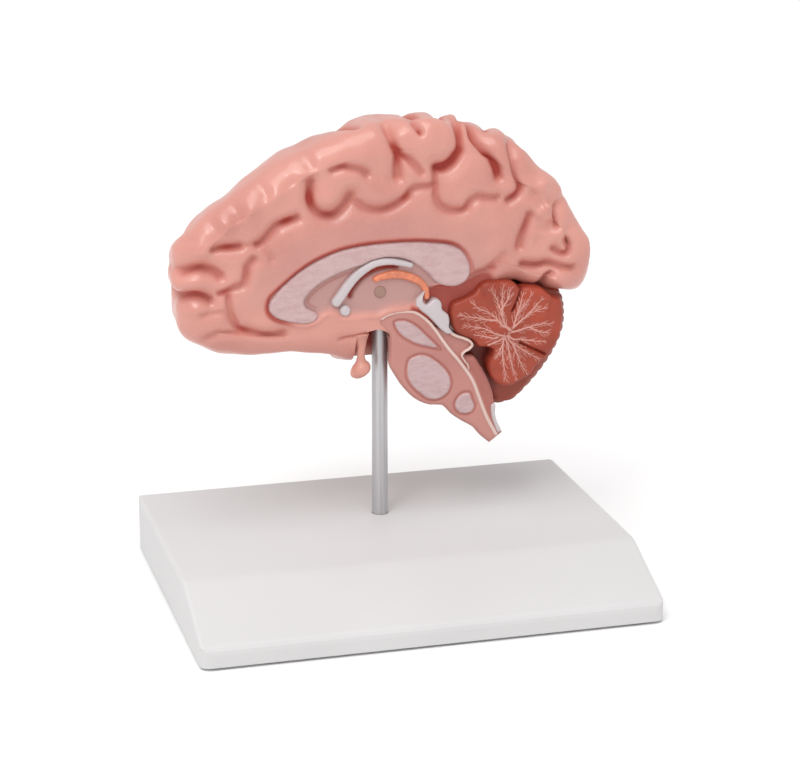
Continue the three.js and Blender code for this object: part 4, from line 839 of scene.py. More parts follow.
print("depth of the first furrow:", furrow_field(np.array([[-71.0, 21.0]]), FACE_FURROWS)[0].round(2), "mm")

# %% [markdown]
# ## Pocket of the inlays
#
# Round the callosum the real cut face steps down into a shallow pocket, in which the painted parts lie. The
# step is steep along the callosum and soft below the thalamus. Cutting the pocket out with another solid
# would leave a hard edge all round, so it is a second field of depths, and the deeper field rules.

# %% Outlines of the pocket
POCKET_EDGE = [
    (-43.7, 5.4), (-42.8, 8.6), (-40.2, 11.2), (-36.6, 14.2), (-32.7, 17.3), (-27.3, 20.8), (-21.9, 23.2),
    (-16.4, 25), (-11, 26), (-5.6, 26.6), (0, 26.8), (5.3, 26.9), (10.7, 26.8), (16.1, 26.4),
    (21.8, 25.7), (26.6, 24.6), (30, 22.6), (32.5, 19.6), (34.2, 14.3), (33, 9.9), (29.2, 7.6),
    (25.4, 7.4), (21.8, 8.2), (20.2, 6.6), (19.6, 3), (17, 1.2), (12, 0.9), (6, 1), (2, 0.5), (-2, -1.2),
    (-6, -0.8), (-12, -1), (-16.2, -1.2), (-18.4, 0.8), (-22, 0.6), (-24.4, -1.4), (-28.4, -3),
    (-32.6, -2.6), (-37, -1.4), (-41, 0.4), (-43.2, 2.6),
]
# The side of the pocket that slopes softly up to the face
SOFT_EDGE = [(-30, -3.4), (-24, -1.4), (-16, -1.4), (-8, -1.2), (0, -1), (8, 0.6), (13, 0.6)]
# The floor of the recess between the splenium, the tectal plate and the vermis
ISTHMUS_EDGE = [
    (16, -0.6), (15.8, 2), (15, 5), (15.4, 7), (16.4, 8.4), (20, 9.4), (25.4, 9.6), (29.6, 9.8),
    (33.6, 11), (38, 12), (41, 12.2), (43.6, 11), (45, 8), (44, 2), (38, -4), (30, -12), (26, -12),
    (20, -5.6),
]
# The cleft between the fornix and the thalamus: a shallow groove, darkened along it by painted shadow
CLEFT_LINE = [(-12.2, 6.6), (-11.6, 8.6), (-9.4, 11.6), (-6.4, 14), (-2.4, 15.9), (1.8, 16.7), (5.6, 16.6)]
print("the pocket's length and height:", np.ptp(np.array(POCKET_EDGE), axis=0).round(1), "mm")

# %% Stations of the brain stem
# Each as its front edge, its back edge and its reach behind the face
STEM_STATIONS = [
    ((2.6, -9), (-2.8, -3.2), 8), ((2.9, -12.5), (3.6, 0.1), 10), ((2.9, -16.5), (9.8, 0.5), 12),
    ((2.7, -20.5), (15.4, -1.8), 13), ((4.9, -25), (20.9, -7.8), 15), ((8.4, -30.4), (25.6, -14.4), 16),
    ((12.8, -34.8), (30.4, -18.9), 16), ((18, -37.4), (35.4, -19.8), 14),
    ((23.2, -38.1), (38.4, -24.2), 12), ((26.8, -41.8), (41, -29), 10), ((31, -44.9), (43, -34.4), 9),
    ((35.2, -47.6), (43.9, -40.2), 7.5), ((38, -50.9), (44.4, -45), 6.5),
    ((41.8, -54.3), (46.9, -50.6), 5.2),
]
STEM_STEP = 0.6


def stem_outline():
    """The front edge of the stem, down, and its back edge, up again."""
    front = evenly(spline([s[0] for s in STEM_STATIONS]), STEM_STEP)
    back = evenly(spline([s[1] for s in STEM_STATIONS]), STEM_STEP)
    return np.vstack([front, back[::-1]])


print("points round the stem:", len(stem_outline()))

# %% Depth of the pocket
POCKET_REACH, ISTHMUS_REACH, SEAT_REACH, LINE_REACH = 8, 4, 3, 6
STEEP_STEPS = ((2.0, -1.3, 0.8), (0.9, 1.0, 3.6))  # depth, and from where to where inside the edge
SOFT_STEP = (2.9, -2.5, 4.0)
SOFT_REACH, SOFT_WIDTH = 20, 6
ISTHMUS_STEP = (5.0, -1.2, 2.6)
SEAT_STEP = (5.0, 0.5, 1.6)
CLEFT_DEPTH, CLEFT_WIDTH = 1.7, 0.75


def softness(flat):
    """1 on the side of the pocket that slopes softly, falling to 0 away from it."""
    return bell(distance_to_line(flat, np.array(SOFT_EDGE), SOFT_REACH), SOFT_WIDTH)


def step_down(within, step):
    """A smooth step to its depth, from its start to its end inside an outline."""
    depth, start, end = step
    return depth * smoothstep(start, end, within)


def face_floor(flat):
    """The depth that the face sinks to under the inlays: the deepest of the pocket with its cleft, the floor
    of the isthmus and the seat of the stem, each a smooth step across its outline."""
    within = depth_inside(flat, outline_of(POCKET_EDGE), POCKET_REACH)
    soft = softness(flat)
    steep = step_down(within, STEEP_STEPS[0]) + step_down(within, STEEP_STEPS[1])
    pocket = steep * (1 - soft) + step_down(within, SOFT_STEP) * soft
    cleft = CLEFT_DEPTH * bell(distance_to_line(flat, spline(CLEFT_LINE), LINE_REACH), CLEFT_WIDTH)
    isthmus = step_down(depth_inside(flat, outline_of(ISTHMUS_EDGE), ISTHMUS_REACH), ISTHMUS_STEP)
    seat = step_down(depth_inside(flat, stem_outline(), SEAT_REACH), SEAT_STEP)
    return np.maximum(np.maximum(pocket + cleft, isthmus), seat)


print("depth of the pocket under the callosum:", face_floor(np.array([[0.0, 23.0]])).round(2), "mm")

# %% [markdown]
# ## Lumps of the cut face
#
# A cast face is never flat. It crowns a little towards its edge, it has low swellings and dimples between the
# furrows, and the photograph shows where some of them are. Those are soft round spots at chosen places, and
# the rest is an uneven field of low waves.

# %% Dimples and swellings of the cut face
# Shallow dimples, and low swellings where the depth is negative, as place, reach and depth
DIMPLES = [
    (-54, 40, 2.6, 1.2), (-44, 48, 2.4, 1.1), (-35, 52, 3.2, 1.1), (-27, 57.5, 2.4, 0.9),
    (-62, 35.5, 2.2, 0.9), (-49, 42, 2.6, -0.9), (-40, 46, 3, -0.8), (-66, 28, 4, -0.8),
    (-58, 35, 3, -0.7), (58.6, 41, 2.8, 1.5), (64.5, 28.5, 2.2, 1.2), (61, 37.5, 2.2, 0.9),
    (66, 39.4, 2.2, 1.1), (71.6, 22, 2.4, 1.1), (60.6, 23, 2.4, 0.9), (61, 29, 2.6, 0.9),
    (-70, 35, 3, 0.4), (62, 44.2, 2.2, -1.1), (64, 35.6, 2, -1.1), (60, 33.4, 1.8, -0.9),
    (68, 25.6, 2.6, -0.8), (74, 28, 2.4, 0.9), (50, 36.4, 3, -0.5), (-75, 15.2, 3.6, -1.2),
    (-69, 16, 3.6, -0.9), (-74, 5.8, 3.2, -1.1), (-69, 6.4, 3, -0.8), (-44, -1.8, 4, -0.5),
    (-56, 24.6, 5, -0.4), (-12, 50.6, 5, -0.6), (11, 51.6, 3, -0.5), (-19, 43.5, 4, -0.5),
    (26, 46, 4, -0.4), (68, 8.6, 4, -0.6), (36, 37.2, 3, -0.3), (60, 16.6, 4, -0.4),
]
print("dimples and swellings:", len(DIMPLES))

# %% Depth of the whole cut face
HEMISPHERE_OUTLINE = [edge[:2] for edge in HEMISPHERE_EDGE]
CROWN = 1.2
CROWN_BAND = (8, 30)
DIMPLE_DEPTH = 1.3
FACE_SINK = 0.4
SWELLS = ((0.6, 26, 3), (0.28, 12, 5))  # height, size and seed of the waves
CALM = 0.25  # share of the lumps that stays in the pocket
CALM_DEPTHS = (0.0, 1.5)


def swell_of(points):
    """Low swellings all over: long waves with shorter ones on them."""
    return sum(lumps(points, *swell) for swell in SWELLS)


def face_depth(flat):
    """Depth of the hemisphere's surface at points of the cut face: furrows, dimples, swellings and the fall
    towards the edge, or the pocket's floor where that is deeper."""
    furrows, _ = furrow_field(flat, FACE_FURROWS)
    points = np.stack([flat[:, 0], np.zeros(len(flat)), flat[:, 1]], axis=1)
    within = depth_inside(flat, outline_of(HEMISPHERE_OUTLINE, 2), CROWN_BAND[1] + 1)
    crown = CROWN * (1 - smoothstep(*CROWN_BAND, within))
    uneven = FACE_SINK + furrows + DIMPLE_DEPTH * spots_field(flat, DIMPLES) + swell_of(points) + crown
    floor = face_floor(flat)
    kept = 1 - smoothstep(*CALM_DEPTHS, floor)
    return np.maximum(uneven * (CALM + (1 - CALM) * kept), floor)


print("depth between two furrows:", face_depth(np.array([[-36.0, 26.0]])).round(2), "mm")

# %% [markdown]
# ## Paint of the cut face
#
# The real model is sprayed pink, and thin red paint has run into its furrows and dried there. Round the
# callosum it stands in a sharp line. It could be painted by hand on an image, but this object uses none. So
# each point of the mesh carries a number that says how much red it has, from real red paint and from painted
# shade in the hollows, and a second one for the paler paint of the pocket.

# %% Edge of the callosum
CALLOSUM_EDGE = [
    (-42.8, 5.5), (-42.2, 3), (-40.3, 1), (-36.7, -0.5), (-32.4, -1.7), (-28.6, -2), (-25.6, -1),
    (-24.8, 0.6), (-27, 2.2), (-29.4, 3.8), (-30, 6.5), (-27.8, 9.6), (-24.5, 12.3), (-20.7, 14.5),
    (-16.4, 16.2), (-12, 17.7), (-7.7, 18.8), (-4, 20.2), (0, 21), (4.2, 20.9), (8.5, 20), (11.8, 18.4),
    (15.1, 15.9), (17.8, 13.4), (20, 10.8), (22.2, 9.4), (25.5, 8.5), (28.8, 8.6), (32.1, 10.6),
    (33.2, 14.2), (31.5, 19.3), (29.3, 21.9), (26, 23.7), (21.6, 24.7), (16.1, 25.4), (10.7, 25.8),
    (5.3, 25.9), (0, 25.8), (-5.6, 25.6), (-11, 25), (-16.4, 24), (-21.8, 22.1), (-27.2, 19.7),
    (-32.6, 16.3), (-36.5, 13.2), (-40, 9.8),
]
print("the callosum is", np.ptp(np.array(CALLOSUM_EDGE)[:, 0]), "mm long")

# %% Where the paint has gathered
# As place, reach and strength
PAINT_SPOTS = [
    (-57, 27.7, 4, 0.8), (-35.5, 36.6, 3, 0.9), (-58.6, 11.4, 2.6, 0.7), (-52.3, -3.4, 3.4, 0.8),
    (-44, -5.8, 4, 0.5), (-26.8, 43.8, 3.6, 1), (-20, 37.6, 3.4, 0.5), (-14.6, 55.2, 3, 0.7),
    (6.6, 58.4, 4, 0.85), (5.2, 63, 3.4, 0.7), (9.2, 42.8, 2.4, 0.7), (30, 59.6, 3.4, 0.9),
    (27, 55, 3.6, 0.9), (22.6, 52.7, 3, 1), (41, 57.6, 3.8, 0.85), (43, 53.5, 3.8, 0.9),
    (44.2, 50, 2.4, 0.7), (52.4, 44.5, 3.6, 0.7), (50.5, 40.6, 2.2, 0.5), (14.4, 67.6, 2, 0.9),
    (-73, 30, 2.2, 0.4), (-73, 21.8, 4.4, 0.3), (-74, 10.4, 4.4, 0.4), (46, 11.8, 4, 1),
    (62.8, 6.5, 2.4, 0.4), (71, 18, 2.4, 0.4), (31, 37.6, 3, 0.4), (38, 11.5, 4, 0.5), (-13, -9, 5, 1.2),
    (-48, 28.6, 4, 0.3), (-50.5, 18, 3, 0.3), (-68, 21, 6, 0.35), (-69, 10, 5, 0.4), (3, 39, 6, 0.3),
    (55.5, 29, 4, 0.4), (68, 31, 3, 0.4), (60, 13.6, 5, 0.3), (20.4, 46, 4, 0.3), (36, 66, 5, 0.5),
    (30.6, 67, 4, 0.4),
]
# The red seam between the lining of the stem and the tectal plate
STEM_SEAM = [(11.4, 0.6), (14, -0.8), (17, -3), (20, -6.4), (24.2, -12)]
FURROW_RED, SPOT_RED = 0.36, 0.8
EDGE_RED, EDGE_RED_WIDTH = 0.85, 1.1
EDGE_FADE = (24, 34)  # where the line round the callosum gets weaker
# Painted shade on the recessed floor of the isthmus: how dark, and from where to where inside its edge
ISTHMUS_PAINTED_SHADE = (0.72, -1.0, 3.0)
# Painted shadow along the cleft under the fornix: its strength and width
CLEFT_PAINTED_SHADOW, CLEFT_PAINTED_SHADOW_WIDTH = 0.95, 0.85
SEAM_RED, SEAM_RED_WIDTH = 0.9, 1.3
CONTOUR_RED, CONTOUR_PLACE, CONTOUR_WIDTH, CONTOUR_REACH = 0.5, 1.9, 0.35, 4
CONTOUR_BANDS = ((3, 4.5), (-5, -10), (-3, 1))  # inside the pocket, along x and along z
print("places with more red paint:", len(PAINT_SPOTS))

# %% Painted shade round the callosum
# How much red and how much of the pocket's paler paint the painted shade round the callosum adds
PAINTED_SHADE_RED, PAINTED_SHADE_PALE = 0.09, 0.3
SHADE_REACH = 15
SHADE_BANDS = ((-14, -4), (2, 8), (46, 36))  # inside the pocket, along z and along x


def callosum_painted_shade(flat):
    """Painted shade on the face round the callosum, as a darker tone: 1 above and in front of the pocket, 0
    from 14 mm.
    """
    near = smoothstep(*SHADE_BANDS[0], depth_inside(flat, outline_of(POCKET_EDGE), SHADE_REACH))
    return near * smoothstep(*SHADE_BANDS[1], flat[:, 1]) * smoothstep(*SHADE_BANDS[2], flat[:, 0])


def pocket_share(flat):
    """How much of the paint is the paler one of the pocket: inside the pocket, and just above it as painted
    shade.
    """
    within = smoothstep(0.0, 3.0, depth_inside(flat, outline_of(POCKET_EDGE), POCKET_REACH))
    return np.maximum(within, PAINTED_SHADE_PALE * callosum_painted_shade(flat))


print("paler paint inside the pocket and just above it:", pocket_share(np.array([[0, 20], [0, 30]])).round(2))

# %% Red paint of the cut face


def gathered_paint(flat, furrows):
    """Red paint in the furrows, thicker at the spots."""
    return furrows * (FURROW_RED + SPOT_RED * spots_field(flat, PAINT_SPOTS))


def septum_contour(flat):
    """The thin line that is painted inside the callosum, along its edge and in front of the fornix."""
    within = depth_inside(flat, outline_of(POCKET_EDGE), POCKET_REACH)
    rim = distance_to_line(flat, outline_of(CALLOSUM_EDGE), CONTOUR_REACH, closed=True)
    shown = smoothstep(*CONTOUR_BANDS[0], within) * smoothstep(*CONTOUR_BANDS[1], flat[:, 0])
    line = CONTOUR_RED * bell(rim - CONTOUR_PLACE, CONTOUR_WIDTH)
    return line * shown * smoothstep(*CONTOUR_BANDS[2], flat[:, 1])


def face_paint(flat):
    """Where the red paint and the painted shade are on the cut face: the strongest of the furrows with the
    painted shade round the callosum, the line round the callosum, the painted shade of the isthmus and of the
    cleft, the seam and the contour of the septum."""
    _, furrows = furrow_field(flat, FACE_FURROWS)
    # The furrows' red paint, with painted shade added round the callosum
    gathered = gathered_paint(flat, furrows) + PAINTED_SHADE_RED * callosum_painted_shade(flat)
    edge = np.abs(depth_inside(flat, outline_of(POCKET_EDGE), POCKET_REACH))
    fade = 1 - 0.5 * smoothstep(*EDGE_FADE, flat[:, 0])
    line = EDGE_RED * bell(edge, EDGE_RED_WIDTH) * (1 - softness(flat)) * fade
    # Painted shade on the recessed floor of the isthmus
    isthmus = step_down(depth_inside(flat, outline_of(ISTHMUS_EDGE), ISTHMUS_REACH), ISTHMUS_PAINTED_SHADE)
    # Painted shadow along the cleft under the fornix
    cleft = CLEFT_PAINTED_SHADOW * bell(distance_to_line(flat, spline(CLEFT_LINE), LINE_REACH), CLEFT_PAINTED_SHADOW_WIDTH)
    seam = SEAM_RED * bell(distance_to_line(flat, spline(STEM_SEAM), LINE_REACH), SEAM_RED_WIDTH)
    strongest = np.maximum.reduce([gathered, line, isthmus, cleft, seam, septum_contour(flat)])
    return np.clip(strongest, 0, 1)


print("red on the callosum's edge:", face_paint(np.array([[0.0, 26.8]])).round(2))

# %% [markdown]
# ## Outside of the hemisphere
#
# The photograph shows only a strip of the outside, so most of its folds are made up in the style of the side
# that can be seen. Their lines are drawn on the dome spread flat, as a map is, and carried back onto it.
# Over the rim the furrows of the face fade out and those of the outside fade in.

# %% Lines of the outer furrows
OUTER_FURROWS = [
    (4.6, 2.6, [(-34, -15), (-26, -8), (-14, 0), (0, 6), (14, 12), (26, 20), (32, 28)]),
    (3.8, 2.0, [(17, 76), (14, 66), (8, 56), (3, 44), (-5, 33), (-9, 21), (-7, 12)]),
    (3.2, 2.0, [(-7, 69), (-10, 58), (-15, 50), (-13, 41), (-20, 30), (-19, 18), (-15, 7)]),
    (3.2, 2.0, [(27, 76), (23, 64), (18, 50), (13, 38), (9, 26), (11, 18)]),
    (3.0, 2.0, [(-66, 27), (-54, 30), (-44, 37), (-33, 38), (-23, 45), (-10, 50)]),
    (3.0, 2.0, [(-76, 10), (-62, 18), (-50, 23), (-38, 31), (-28, 28), (-20, 30)]),
    (2.4, 1.8, [(-60, 22), (-48, 27), (-38, 31), (-28, 34)]),
    (3.2, 2.0, [(18, 50), (28, 45), (39, 49), (51, 42), (60, 32), (70, 30)]),
    (3.4, 2.0, [(-24, -17), (-8, -10), (8, -5), (22, 2), (34, 9), (42, 20), (47, 31)]),
    (2.8, 1.9, [(-12, -21), (5, -17), (18, -12), (36, -6), (50, 4), (58, 14)]),
    (2.0, 1.8, [(8, -24), (26, -19), (40, -10)]),
    (2.6, 1.9, [(47, 22), (58, 18), (68, 20), (80, 17)]),
    (2.6, 1.8, [(46, 72), (41, 62), (38, 54)]),
    (2.4, 1.8, [(56, 60), (56, 51), (64, 43)]),
    (2.8, 1.8, [(-22, -5), (-29, 4), (-31, 14)]),
    (2.4, 1.8, [(-27, -8), (-39, -4), (-52, -5), (-64, -2)]),
    (2.0, 1.8, [(-46, 12), (-38, 8), (-33, 2)]),
    (2.0, 1.8, [(30, 33), (36, 38), (33, 45)]),
    (2.0, 1.8, [(70, 38), (64, 26), (70, 12)]),
    (2.0, 1.6, [(35, 76), (32, 66), (30, 58)]),
]
print("furrows on the outside:", len(OUTER_FURROWS))

# %% Rim and dome
OVER_RIM = (1.7, 2.3)  # where on v the outer furrows take over
DOME_SWELL = 1.3
RIM_RISE = (2.4, 1.1, 2.0)  # height, and from where to where on v
UNCUS_PLACE = np.array([-10.0, 19.0, -19.0])
UNCUS_REACH = np.array([14.0, 10.0, 12.0])
UNCUS_HEIGHT = 6.5
# The red of the outer furrows, and the painted shade on the underside above the vermis
OUTER_RED, UNDER_PAINTED_SHADE = 0.75, 0.7
RIM_END, FACE_PAINT_END = 2, 1.6  # on v
UNDER_BANDS = ((1.5, 2.1), (36, 44), (80, 72), (13, 8))  # along v, twice along x, and along z


def under_shade_share(points, v):
    """1 on the underside above the vermis, which is darkened there by painted shade."""
    x, _, z = points.T
    return math.prod(smoothstep(*band, place) for band, place in zip(UNDER_BANDS, (v, x, x, z)))


def dome_skin(form, columns, rows):
    """(points, paint) of the rim and the dome, row by row from the face. Each point of the smooth form sinks
    along its normal by the depth of the furrows, the dimples and the swellings there."""
    u, v = grid_of(columns, rows)
    points = form.at(u, v)
    flat = points[:, [0, 2]]
    over = smoothstep(*OVER_RIM, v)
    front, front_paint = furrow_field(flat, FACE_FURROWS)
    front = FACE_SINK + front + DIMPLE_DEPTH * spots_field(flat, DIMPLES) + CROWN
    front = front - step_down(v, RIM_RISE)
    behind, behind_paint = furrow_field(form.spread(u, v), OUTER_FURROWS)
    depth = front * (1 - over) + (behind - DOME_SWELL) * over + swell_of(points)
    depth = depth - UNCUS_HEIGHT * np.exp(-(((points - UNCUS_PLACE) / UNCUS_REACH) ** 2).sum(1))
    paint = gathered_paint(flat, front_paint) * (1 - over) + OUTER_RED * behind_paint * over
    # Painted shade on the underside above the vermis
    paint = np.maximum(paint, UNDER_PAINTED_SHADE * under_shade_share(points, v))
    points = points - form.normal(u, v) * depth[:, None]
    points[:, 1] = np.where(v < RIM_END, np.maximum(points[:, 1], face_floor(flat)), points[:, 1])
    paint = np.where(v < FACE_PAINT_END, np.maximum(paint, face_paint(flat)), paint)
    low, high = (np.array(corner) / MM - BRAIN_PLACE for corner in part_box("cerebral_hemisphere"))
    return np.clip(points, low, high), np.clip(paint, 0, 1)


print("the outer furrows take over", OVER_RIM, "along v, and the swelling below is", UNCUS_HEIGHT, "mm high")

# %% [markdown]
# ## Skin of the hemisphere
#
# Rings of faces suit the dome, but on the flat face they would crowd at its middle and blur the furrows. So
# the face is filled with even triangles of half a millimetre, and its rim uses the very points of the dome's
# first ring, which leaves no gap.

# %% Even triangles inside an outline
ROW_HEIGHT = 0.866  # of even triangles with sides of 1
EDGE_ROOM = 0.55  # between the outline and the first points, in spacings
INSIDE_ONLY = 1
MERGE = 1e-6


def turns_left(outline):
    """Whether the outline runs to the left: twice the area that it goes round is then above 0."""
    x, z = outline[:, 0], outline[:, 1]
    return np.sum(x * np.roll(z, -1) - np.roll(x, -1) * z) > 0


def filled(outline, spacing):
    """(points, triangles) of even triangles that fill an outline, whose own points come first. The inner
    points stand in rows, and each row is moved by half a step."""
    low, high = outline.min(0), outline.max(0)
    x, z = np.meshgrid(np.arange(low[0], high[0], spacing), np.arange(low[1], high[1], spacing * ROW_HEIGHT))
    x = x + (np.arange(len(x))[:, None] % 2) * spacing / 2
    grid = np.stack([x.ravel(), z.ravel()], axis=1)
    grid = grid[inside(grid, outline)]
    grid = grid[distance_to_line(grid, outline, spacing, closed=True) > spacing * EDGE_ROOM]
    ring = np.arange(len(outline))
    edges = np.stack([ring, np.roll(ring, -1)], axis=1).tolist()
    everything = np.vstack([outline, grid]).tolist()
    made = delaunay_2d_cdt(everything, edges, [], INSIDE_ONLY, MERGE)
    return np.array(made[0]), np.array(made[2])


print("triangles in a circle of 10 mm:", len(filled(10 * TEST_RING, 1.0)[1]))

# %% Rim, dome and face in one skin
HEMISPHERE_COLUMNS = 540
RIM_ROWS = np.linspace(1, 2, 27)
DOME_ROWS = np.linspace(2, 2.985, 66)[1:]
FACE_SPACING = 0.52


def hemisphere_skin(form):
    """(points, faces, paint) of the hemisphere: even triangles on its face, and rings over its dome."""
    columns = HEMISPHERE_COLUMNS
    rows = np.concatenate([RIM_ROWS, DOME_ROWS])
    dome, dome_paint = dome_skin(form, columns, rows)
    flat, triangles = filled(dome[:columns, [0, 2]], FACE_SPACING)
    face = np.stack([flat[:, 0], face_depth(flat), flat[:, 1]], axis=1)
    place = len(dome) + np.arange(len(flat))
    c = np.arange(columns)
    place[:columns] = c
    top = len(dome) + len(flat)
    edge = (len(rows) - 1) * columns
    cap = np.stack([np.full(columns, top), edge + c, edge + (c + 1) % columns], axis=1)
    points = np.vstack([dome, face, dome[-columns:].mean(0)])
    paint = np.concatenate([dome_paint, face_paint(flat), dome_paint[-1:]])
    return points, [ring_faces(len(rows), columns), place[triangles], cap], paint


def without_loose_points(points, faces, fields):
    """The mesh without the points that no face uses."""
    used = np.zeros(len(points), bool)
    for f in faces:
        used[f.ravel()] = True
    place = np.cumsum(used) - 1
    return points[used], [place[f] for f in faces], [field[used] for field in fields]


print("rings from the cut face to the dome's top:", len(RIM_ROWS) + len(DOME_ROWS))

# %% [markdown]
# ## Recess and hole
#
# Behind the brain stem and the cerebellum the real casting has a deep recess, and the rod stands in a hole.
# Both have sharp edges, and that is what a Boolean cut is good at: a solid of the recess's shape is taken
# away from the hemisphere. The recess's cutter leaves dark paint on the walls that it makes, as painted
# shade.

# %% Cutting


def cut_with(target, cutters):
    """The target's mesh after cutting it with each of the cutters, which are then removed."""
    for cutter in cutters:
        modifier = target.modifiers.new("cut", "BOOLEAN")
        modifier.operation = "DIFFERENCE"
        modifier.solver = "MANIFOLD"
        modifier.object = cutter
    graph = bpy.context.evaluated_depsgraph_get()
    result = bpy.data.meshes.new_from_object(
        target.evaluated_get(graph), preserve_all_data_layers=True, depsgraph=graph)
    target.modifiers.clear()
    old = target.data
    target.data = result
    bpy.data.meshes.remove(old)
    for cutter in cutters:
        bpy.data.objects.remove(cutter)
    print(target.name, "has", len(result.polygons), "faces after the cut")

# %% Cutters
DEEP_RECESS = 16.0
CUTTER_FRONT = -30
# How dark the recess's cutter paints the walls it makes, as painted shade
RECESS_PAINTED_SHADE = 0.8
HOLE_ROOM = 0.25
HOLE_FOOT = -60
HOLE_END = 0.2  # above the bush
# The deeper part of the recess, in front of the rod and the cerebellum
DEEP_EDGE = [
    (-9.9, -70), (-9.9, -20), (-10.1, -16.5), (-10.3, -14), (-10.4, -11.5), (-10.1, -8.9), (-8, -8.1),
    (-5.4, -6.9), (-2, -6.3), (0.6, -7.2), (2.4, -8.4), (10, -10), (18, -12), (23.6, -12.6),
    (25.6, -10.5), (26.6, -8), (26.4, -2), (27.2, 0.6), (29.2, 1.6), (32.2, 2.6), (35.6, 4.4), (38, 7),
    (40, 8.2), (43.2, 8.4), (46.2, 8), (47.6, 6), (49, 3), (52, 0.5), (58, -1.5), (66, -2.5), (72, -3.5),
    (80, -4.5), (95, -5), (95, -70),
]


def prism(name, outline, front, back, paint):
    """A prism over an outline of the cut face, between two depths, as a cutter that leaves its paint."""
    n = len(outline)
    x, z = outline[:, 0], outline[:, 1]
    points = np.vstack([np.stack([x, np.full(n, d), z], axis=1) for d in (front, back)])
    order = np.arange(n) if turns_left(outline) else np.arange(n)[::-1]
    sides = np.stack([order, order + n, np.roll(order, -1) + n, np.roll(order, -1)], axis=1)
    faces = [sides, order[None, :], (order + n)[None, ::-1]]
    mesh = new_mesh(name, in_brain(points), faces, {"furrow": np.full(2 * n, paint)})
    return add_object(name, mesh, None)


def rod_way():
    """The cutter of the hole that the rod and its bush stand in."""
    r = (BUSH_BOX[1][0] - BUSH_BOX[0][0]) / 2 / MM + HOLE_ROOM
    top = SEAT_Z + BUSH_CAP + HOLE_END
    points, faces = lathe([(0, HOLE_FOOT), (r, HOLE_FOOT), (r, top), (0, top)], 64)
    return add_object("rod_way", new_mesh("rod_way", in_brain(points + [ROD_X, ROD_DEPTH, 0]), faces), None)


print("the recess is", DEEP_RECESS, "mm deep, and its edge has", len(DEEP_EDGE), "points")

# %% [markdown]
# ## Finish of the hemisphere
#
# The real paint is glossy, a little mottled, and dull where the red has dried in the furrows. One flat pink
# would look like plastic, so large soft patches, a fine grain and the two painted fields are chosen between
# one after the other. The clear coat fades out in the furrows, where the real one doesn't shine.

# %% Cortex paint
PATCH = (0.93, 0.885, 0.89)  # of the light colour, in the large patches


def cortex_paint(name, light, pocket, deep):
    """Glossy paint on a casting, sprayed darker in the furrows and darkened by painted shade in the hollows,
    and duller in the pocket of the inlays.
    """
    paint = Paint(name)
    furrow = paint.field("furrow")
    patches = paint.noise(26, 2).clamp(0.35, 0.68)
    grain = paint.noise(900, 3).clamp(0.3, 0.75)
    base = patches.choose(srgb(*light), srgb(*[c * share for c, share in zip(light, PATCH)]))
    base = (grain * 0.2).choose(base, toned(light, 1.05))
    base = paint.field("pocket").choose(base, srgb(*pocket))
    # The deep colour is the furrows' red paint, and also painted shade in the recess, the cleft, the isthmus,
    # the underside and round the callosum
    colour = furrow.clamp(0.0, 1.0).choose(base, srgb(*deep))
    roughness = paint.noise(160, 3).clamp(0.3, 0.8, 0.3, 0.4) + furrow.clamp(0.05, 0.4, 0.0, 0.4)
    paint.set(Base_Color=colour, Roughness=roughness, Specular_IOR_Level=0.5)
    paint.set(Coat_Weight=furrow.clamp(0.05, 0.35, 0.34, 0.0), Coat_Roughness=0.18)
    return paint.bump(paint.noise(260, 4) + paint.noise(1500, 2) * 0.15, 0.1)


CORTEX = cortex_paint("cortex_paint", (213, 147, 134), (187, 141, 135), (170, 66, 54))

# %% Hemisphere
HEMISPHERE_CREASE = 70


def fine_hemisphere():
    """The skin of the half form in one mesh with its two painted fields, cut by the recess and the hole."""
    form = HalfForm(
        HEMISPHERE_EDGE, FACE_CENTRE, DOME_CENTRE, 0.0, HEMISPHERE_WIDTH, RIM_RADIUS, DOME_POWER, LOBE_DEPTH)
    points, faces, paint = hemisphere_skin(form)
    points, faces, (paint,) = without_loose_points(points, faces, [paint])
    share = np.where(points[:, 1] < RIM_RADIUS / 2, pocket_share(points[:, [0, 2]]), 0)
    mesh = new_mesh("fine_hemisphere", in_brain(points), faces, {"furrow": paint, "pocket": share})
    piece = add_object("fine_hemisphere", mesh, CORTEX)
    # The recess's walls get the dark red as painted shade
    recess = prism("recess", np.array(DEEP_EDGE, float), CUTTER_FRONT, DEEP_RECESS, RECESS_PAINTED_SHADE)
    cut_with(piece, [recess, rod_way()])
    piece.data.materials.clear()
    piece.data.materials.append(CORTEX)
    sharpen(piece, HEMISPHERE_CREASE)
    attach(piece, "brain")
    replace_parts(piece, "cerebral_hemisphere")
    tell(piece)


fine_hemisphere()

# %% [markdown]
# ## Plates for the inlays
#
# The callosum, the thalamus and their neighbours look like thin plates that are let into the face, each with
# its own outline, height and colour. A curve with a bevel could make them, but it can't follow the face
# behind it. So each plate is filled with even triangles, its front follows a formula, its edge is rounded,
# and walls lead back into the casting.

# %% Edges of a plate


def edge_fall(distance, radius):
    """How far a rounded edge has dropped at a distance from the outline."""
    t = np.clip(distance / radius, 0, 1)
    return radius * (1 - np.sqrt(np.clip(1 - (1 - t) ** 2, 0, 1)))


def offset_outline(outline, distance):
    """The outline moved outwards by the distance, or inwards where it is negative."""
    along = np.roll(outline, -1, axis=0) - np.roll(outline, 1, axis=0)
    along /= np.linalg.norm(along, axis=1)[:, None]
    outwards = np.stack([along[:, 1], -along[:, 0]], axis=1) * (1 if turns_left(outline) else -1)
    return outline + distance * outwards


print("half a millimetre in, a rounded edge of 1 mm has dropped by", edge_fall(0.5, 1).round(3), "mm")

# %% A plate along the cut face
INLAY_FLOOR = 5.0
PLATE_CREASE = 50  # edges sharper than this stay sharp


